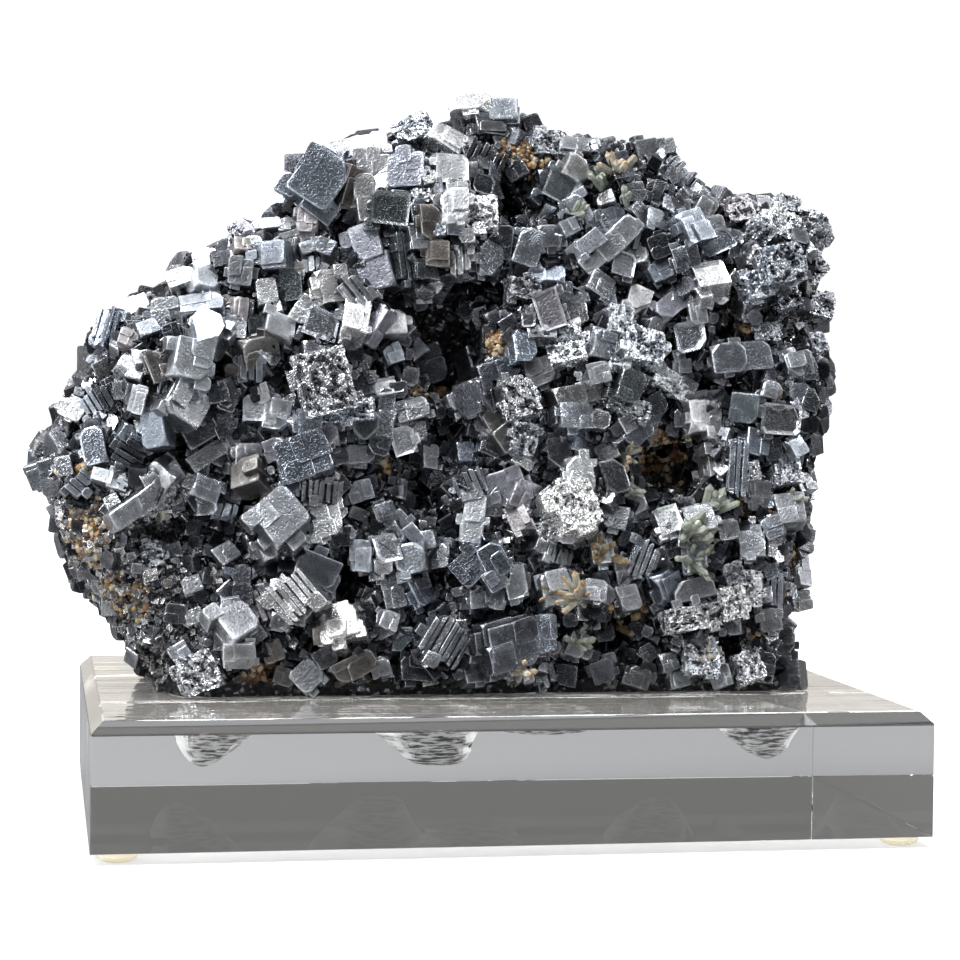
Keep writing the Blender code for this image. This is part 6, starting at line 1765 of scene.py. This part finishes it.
@dataclass
class Studio:
    """Pale floor, soft light from above and the camera."""

    eye: tuple[float, float, float] = (-87.978, -540.199, 91.096)
    yaw: float = 10.0528
    pitch: float = -1.9944
    roll: float = 0.6159
    lens: float = 93.404
    sensor: float = 36.0
    floor_size: float = 12.0
    floor_hidden: Colour = (0.215, 0.215, 0.22, 1.0)
    floor_bounce: Colour = (0.80, 0.80, 0.80, 1.0)
    floor_painted_shadow: Colour = (0.32, 0.32, 0.32, 1.0)
    floor_glow: float = 0.55
    dome_colour: Colour = (0.97, 0.985, 1.0, 1.0)
    dome_least: float = 0.09
    wall_colour: Colour = (1.0, 0.945, 0.87, 1.0)
    wall_glow: float = 0.95
    wall_through: float = 0.09
    backdrop_glow: float = 1.05
    lights: tuple[SoftBox, ...] = (
        SoftBox("overhead", (-0.35, -0.16, 0.70), (0.0, 0.0, 0.08), 0.42, 0.42, 7.1),
        SoftBox("left", (-0.85, -0.30, 0.45), (0.0, 0.0, 0.09), 0.20, 0.50, 3.4),
        SoftBox("right", (0.80, -0.15, 0.45), (0.0, 0.0, 0.09), 0.15, 0.40, 2.2),
    )

    def floor(self) -> None:
        """A plain floor, white to the camera but for a painted shadow under the block, and pale grey to the pieces
        with a painted pool of light to the front left.
        """
        graph = Dress("studio_floor")
        seen = graph.add("LightPath").outputs["Is Camera Ray"]
        x, y, _ = graph.add("SeparateXYZ", {0: graph.place()}).outputs
        # Painted shadow: under the block the floor is darker to the camera.
        across = graph.add("Math", {0: x, 1: 0.0064, 2: 0.0845}, operation="COMPARE").outputs[0]
        deep = graph.add("Math", {0: y, 1: 0.0, 2: 0.062}, operation="COMPARE").outputs[0]
        under = graph.mix(graph.math("MULTIPLY", across, deep), (1.0, 1.0, 1.0, 1.0), self.floor_painted_shadow)
        # Painted pool of light: to the pieces the floor is lighter to the front left.
        left = graph.add("MapRange", {0: x, 1: -0.10, 2: -0.26}).outputs[0]
        near = graph.add("MapRange", {0: y, 1: 0.06, 2: -0.04}).outputs[0]
        hidden = graph.mix(graph.math("MULTIPLY", left, near), self.floor_hidden, self.floor_bounce)
        look = graph.finish({
            "Base Color": graph.mix(seen, hidden, under), "Roughness": 0.8, "Emission Color": (1, 1, 1, 1),
            "Emission Strength": graph.math("MULTIPLY", seen, self.floor_glow),
        })
        half = 0.5 * self.floor_size
        mesh = bpy.data.meshes.new("floor")
        corners = ((-half, -half, 0.0), (half, -half, 0.0), (half, half, 0.0), (-half, half, 0.0))
        mesh.from_pydata(corners, [], [(0, 1, 2, 3)])
        mesh.materials.append(look)
        linked("floor", mesh)

    def world(self) -> None:
        """A white backdrop, with a dome that is brightest above and dim behind the camera."""
        world = bpy.data.worlds.new("studio")
        world.use_nodes = True
        graph = Graph(world.node_tree)
        way = graph.add("SeparateXYZ", {0: graph.add("TexCoord").outputs["Generated"]}).outputs

        def rise(axis: str, low: float, high: float, most: float) -> Socket:
            """A smooth rise along an axis, from 0 at low to most at high."""
            inputs = {0: way[axis], 1: low, 2: high, 3: 0.0, 4: most}
            return graph.add("MapRange", inputs, interpolation_type="SMOOTHSTEP").outputs[0]

        total = graph.math("MULTIPLY", rise("Y", 0.2, 0.8, 1.1), rise("Z", 0.50, 0.75, 1.0))
        above, left, right = rise("Z", 0.44, 0.85, 1.3), rise("X", -0.2, -0.9, 0.28), rise("X", 0.3, 0.9, 0.24)
        for part in (self.dome_least, above, left, right):
            total = graph.math("ADD", total, part)
        dome = graph.add("Background", {"Color": self.dome_colour, "Strength": total})
        wall = graph.math("MULTIPLY", rise("Y", 0.3, 0.9, self.wall_glow), rise("Z", 0.42, 0.08, 1.0))
        rays = graph.add("LightPath").outputs
        kept = graph.add("MapRange", {0: rays["Is Transmission Ray"], 3: 1.0, 4: self.wall_through}).outputs[0]
        glow = graph.add("Background", {"Color": self.wall_colour, "Strength": graph.math("MULTIPLY", wall, kept)})
        lit = graph.add("AddShader", {0: dome.outputs[0], 1: glow.outputs[0]})
        backdrop = graph.add("Background", {"Color": (1.0, 1.0, 1.0, 1.0), "Strength": self.backdrop_glow})
        seen = graph.add("MixShader", {0: rays["Is Camera Ray"], 1: lit.outputs[0], 2: backdrop.outputs[0]})
        graph.add("OutputWorld", {"Surface": seen.outputs[0]})
        bpy.context.scene.world = world

    def light(self) -> None:
        """The softboxes."""
        for box in self.lights:
            data = bpy.data.lights.new(box.name, "AREA")
            data.shape = "RECTANGLE"
            data.size, data.size_y, data.energy = box.width, box.height, box.watts
            turn = (Vector(box.aim) - Vector(box.place)).to_track_quat("-Z", "Y").to_matrix().to_4x4()
            linked(box.name, data).matrix_world = Matrix.Translation(box.place) @ turn

    def camera(self) -> None:
        """The camera, at the viewing angle of the subject."""
        yaw, pitch, roll = (math.radians(angle) for angle in (self.yaw, self.pitch, self.roll))
        ahead = Vector((math.sin(yaw) * math.cos(pitch), math.cos(yaw) * math.cos(pitch), math.sin(pitch)))
        right = Vector((math.cos(yaw), -math.sin(yaw), 0.0))
        above = right.cross(ahead)
        side = math.cos(roll) * right + math.sin(roll) * above
        top = -math.sin(roll) * right + math.cos(roll) * above
        data = bpy.data.cameras.new("camera")
        data.lens, data.sensor_width = self.lens, self.sensor
        data.clip_start, data.clip_end = 0.01, 50.0
        obj = linked("camera", data)
        turn = Matrix((side, top, -ahead)).transposed().to_4x4()
        obj.matrix_world = Matrix.Translation(Vector(self.eye) * MM) @ turn
        bpy.context.scene.camera = obj

    def build(self) -> None:
        """Sets the stage."""
        self.floor()
        self.world()
        self.light()
        self.camera()
        bpy.context.scene.view_settings.view_transform = "Standard"


def settle(piece: Piece, node: str) -> None:
    """Ties a piece to the body, hides the solid that it stands for, and reports its triangles."""
    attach(piece, BODY)
    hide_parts(node)
    triangles = sum(len(polygon.vertices) - 2 for polygon in piece.data.polygons)
    LOG.info("%s: %d triangles", piece.name, triangles)


def main() -> None:
    """Builds every piece, dresses it and sets the stage."""
    logging.basicConfig(level=logging.INFO, format="%(message)s", stream=sys.stdout)
    faces = GalenaFinish().material()
    rock = Rock()
    body = rock.build()
    tree = BVHTree.FromObject(body, bpy.context.evaluated_depsgraph_get())
    forge, eye = CrystalForge(), Eye()
    front = FrontCrystals(forge, eye, tree, rock.seat)
    made = [front.build(name, group, faces) for name, group in FRONT_GROUPS.items()]
    made.append(ShellCrystals(forge, tree, rock.seat).build("crystals_sides_and_back", faces))
    made.append(QuartzSprays(eye, tree).build("quartz_sprays", SPRAYS, QuartzFinish().material()))
    rock.roughen(body)
    rock.cut_seat(body)
    rock.share_out(body)
    body.data.materials.clear()
    body.data.materials.append(RockFinish().material())
    shapes = SmallShapes()
    cubes = shapes.collect("small_cubes", 6, 5, shapes.cube)
    bits = shapes.collect("small_bits", 5, 7, shapes.bit)
    grains = shapes.collect("small_grains", 4, 6, shapes.grain)
    ochre = OchreFinish().material()
    for druse in (
        Druse("druse_front", "filler", cubes, faces, 2.3, 1.5, 3.9, 11, GREY_TONES),
        Druse("druse_fine", "filler", bits, faces, 1.15, 0.5, 1.6, 15, GLINT_TONES),
        Druse("druse_sugar", "sugar", bits, faces, 0.75, 0.5, 1.9, 12, SUGAR_TONES),
        Druse("druse_back", "shell", cubes, faces, 3.0, 2.5, 6.5, 13, GREY_TONES),
        Druse("ochre_grains", "rust", grains, ochre, 0.8, 0.8, 2.2, 14, OCHRE_TONES),
    ):
        made.append(druse.build(body))
    for piece in (*made, body):
        settle(piece, "galena_specimen")
    block = DisplayBlock()
    # The top is tinted beige and made a little milky: a painted reflection of the beige wall behind, over its drag
    # marks.
    top = AcrylicFinish("clear_acrylic_top", (0.98, 0.945, 0.89, 1.0), (0.12, 1.0, 1.0), 160.0, 0.22, 0.82)
    looks = [finish.material() for finish in (AcrylicFinish(), GroundFinish(), top)]
    settle(block.build(POCKETS, *looks), "base_block")
    points = MeshBin()
    for index, row in enumerate(POCKETS[:3]):
        points.add(block.pocket(row, index, 0.9, rock.seat + 4.0, 0.10), Matrix(), (0.2, 0.2, 0.2, 0.4))
    settle(points.to_object("specimen_points", body.data.materials[0]), "galena_specimen")
    bumper = BumperFinish().material()
    for name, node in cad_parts.items():
        if name.startswith("foot_"):
            node.data.materials.clear()
            node.data.materials.append(bumper)
    Studio().build()


if __name__ == "__main__":
    main()
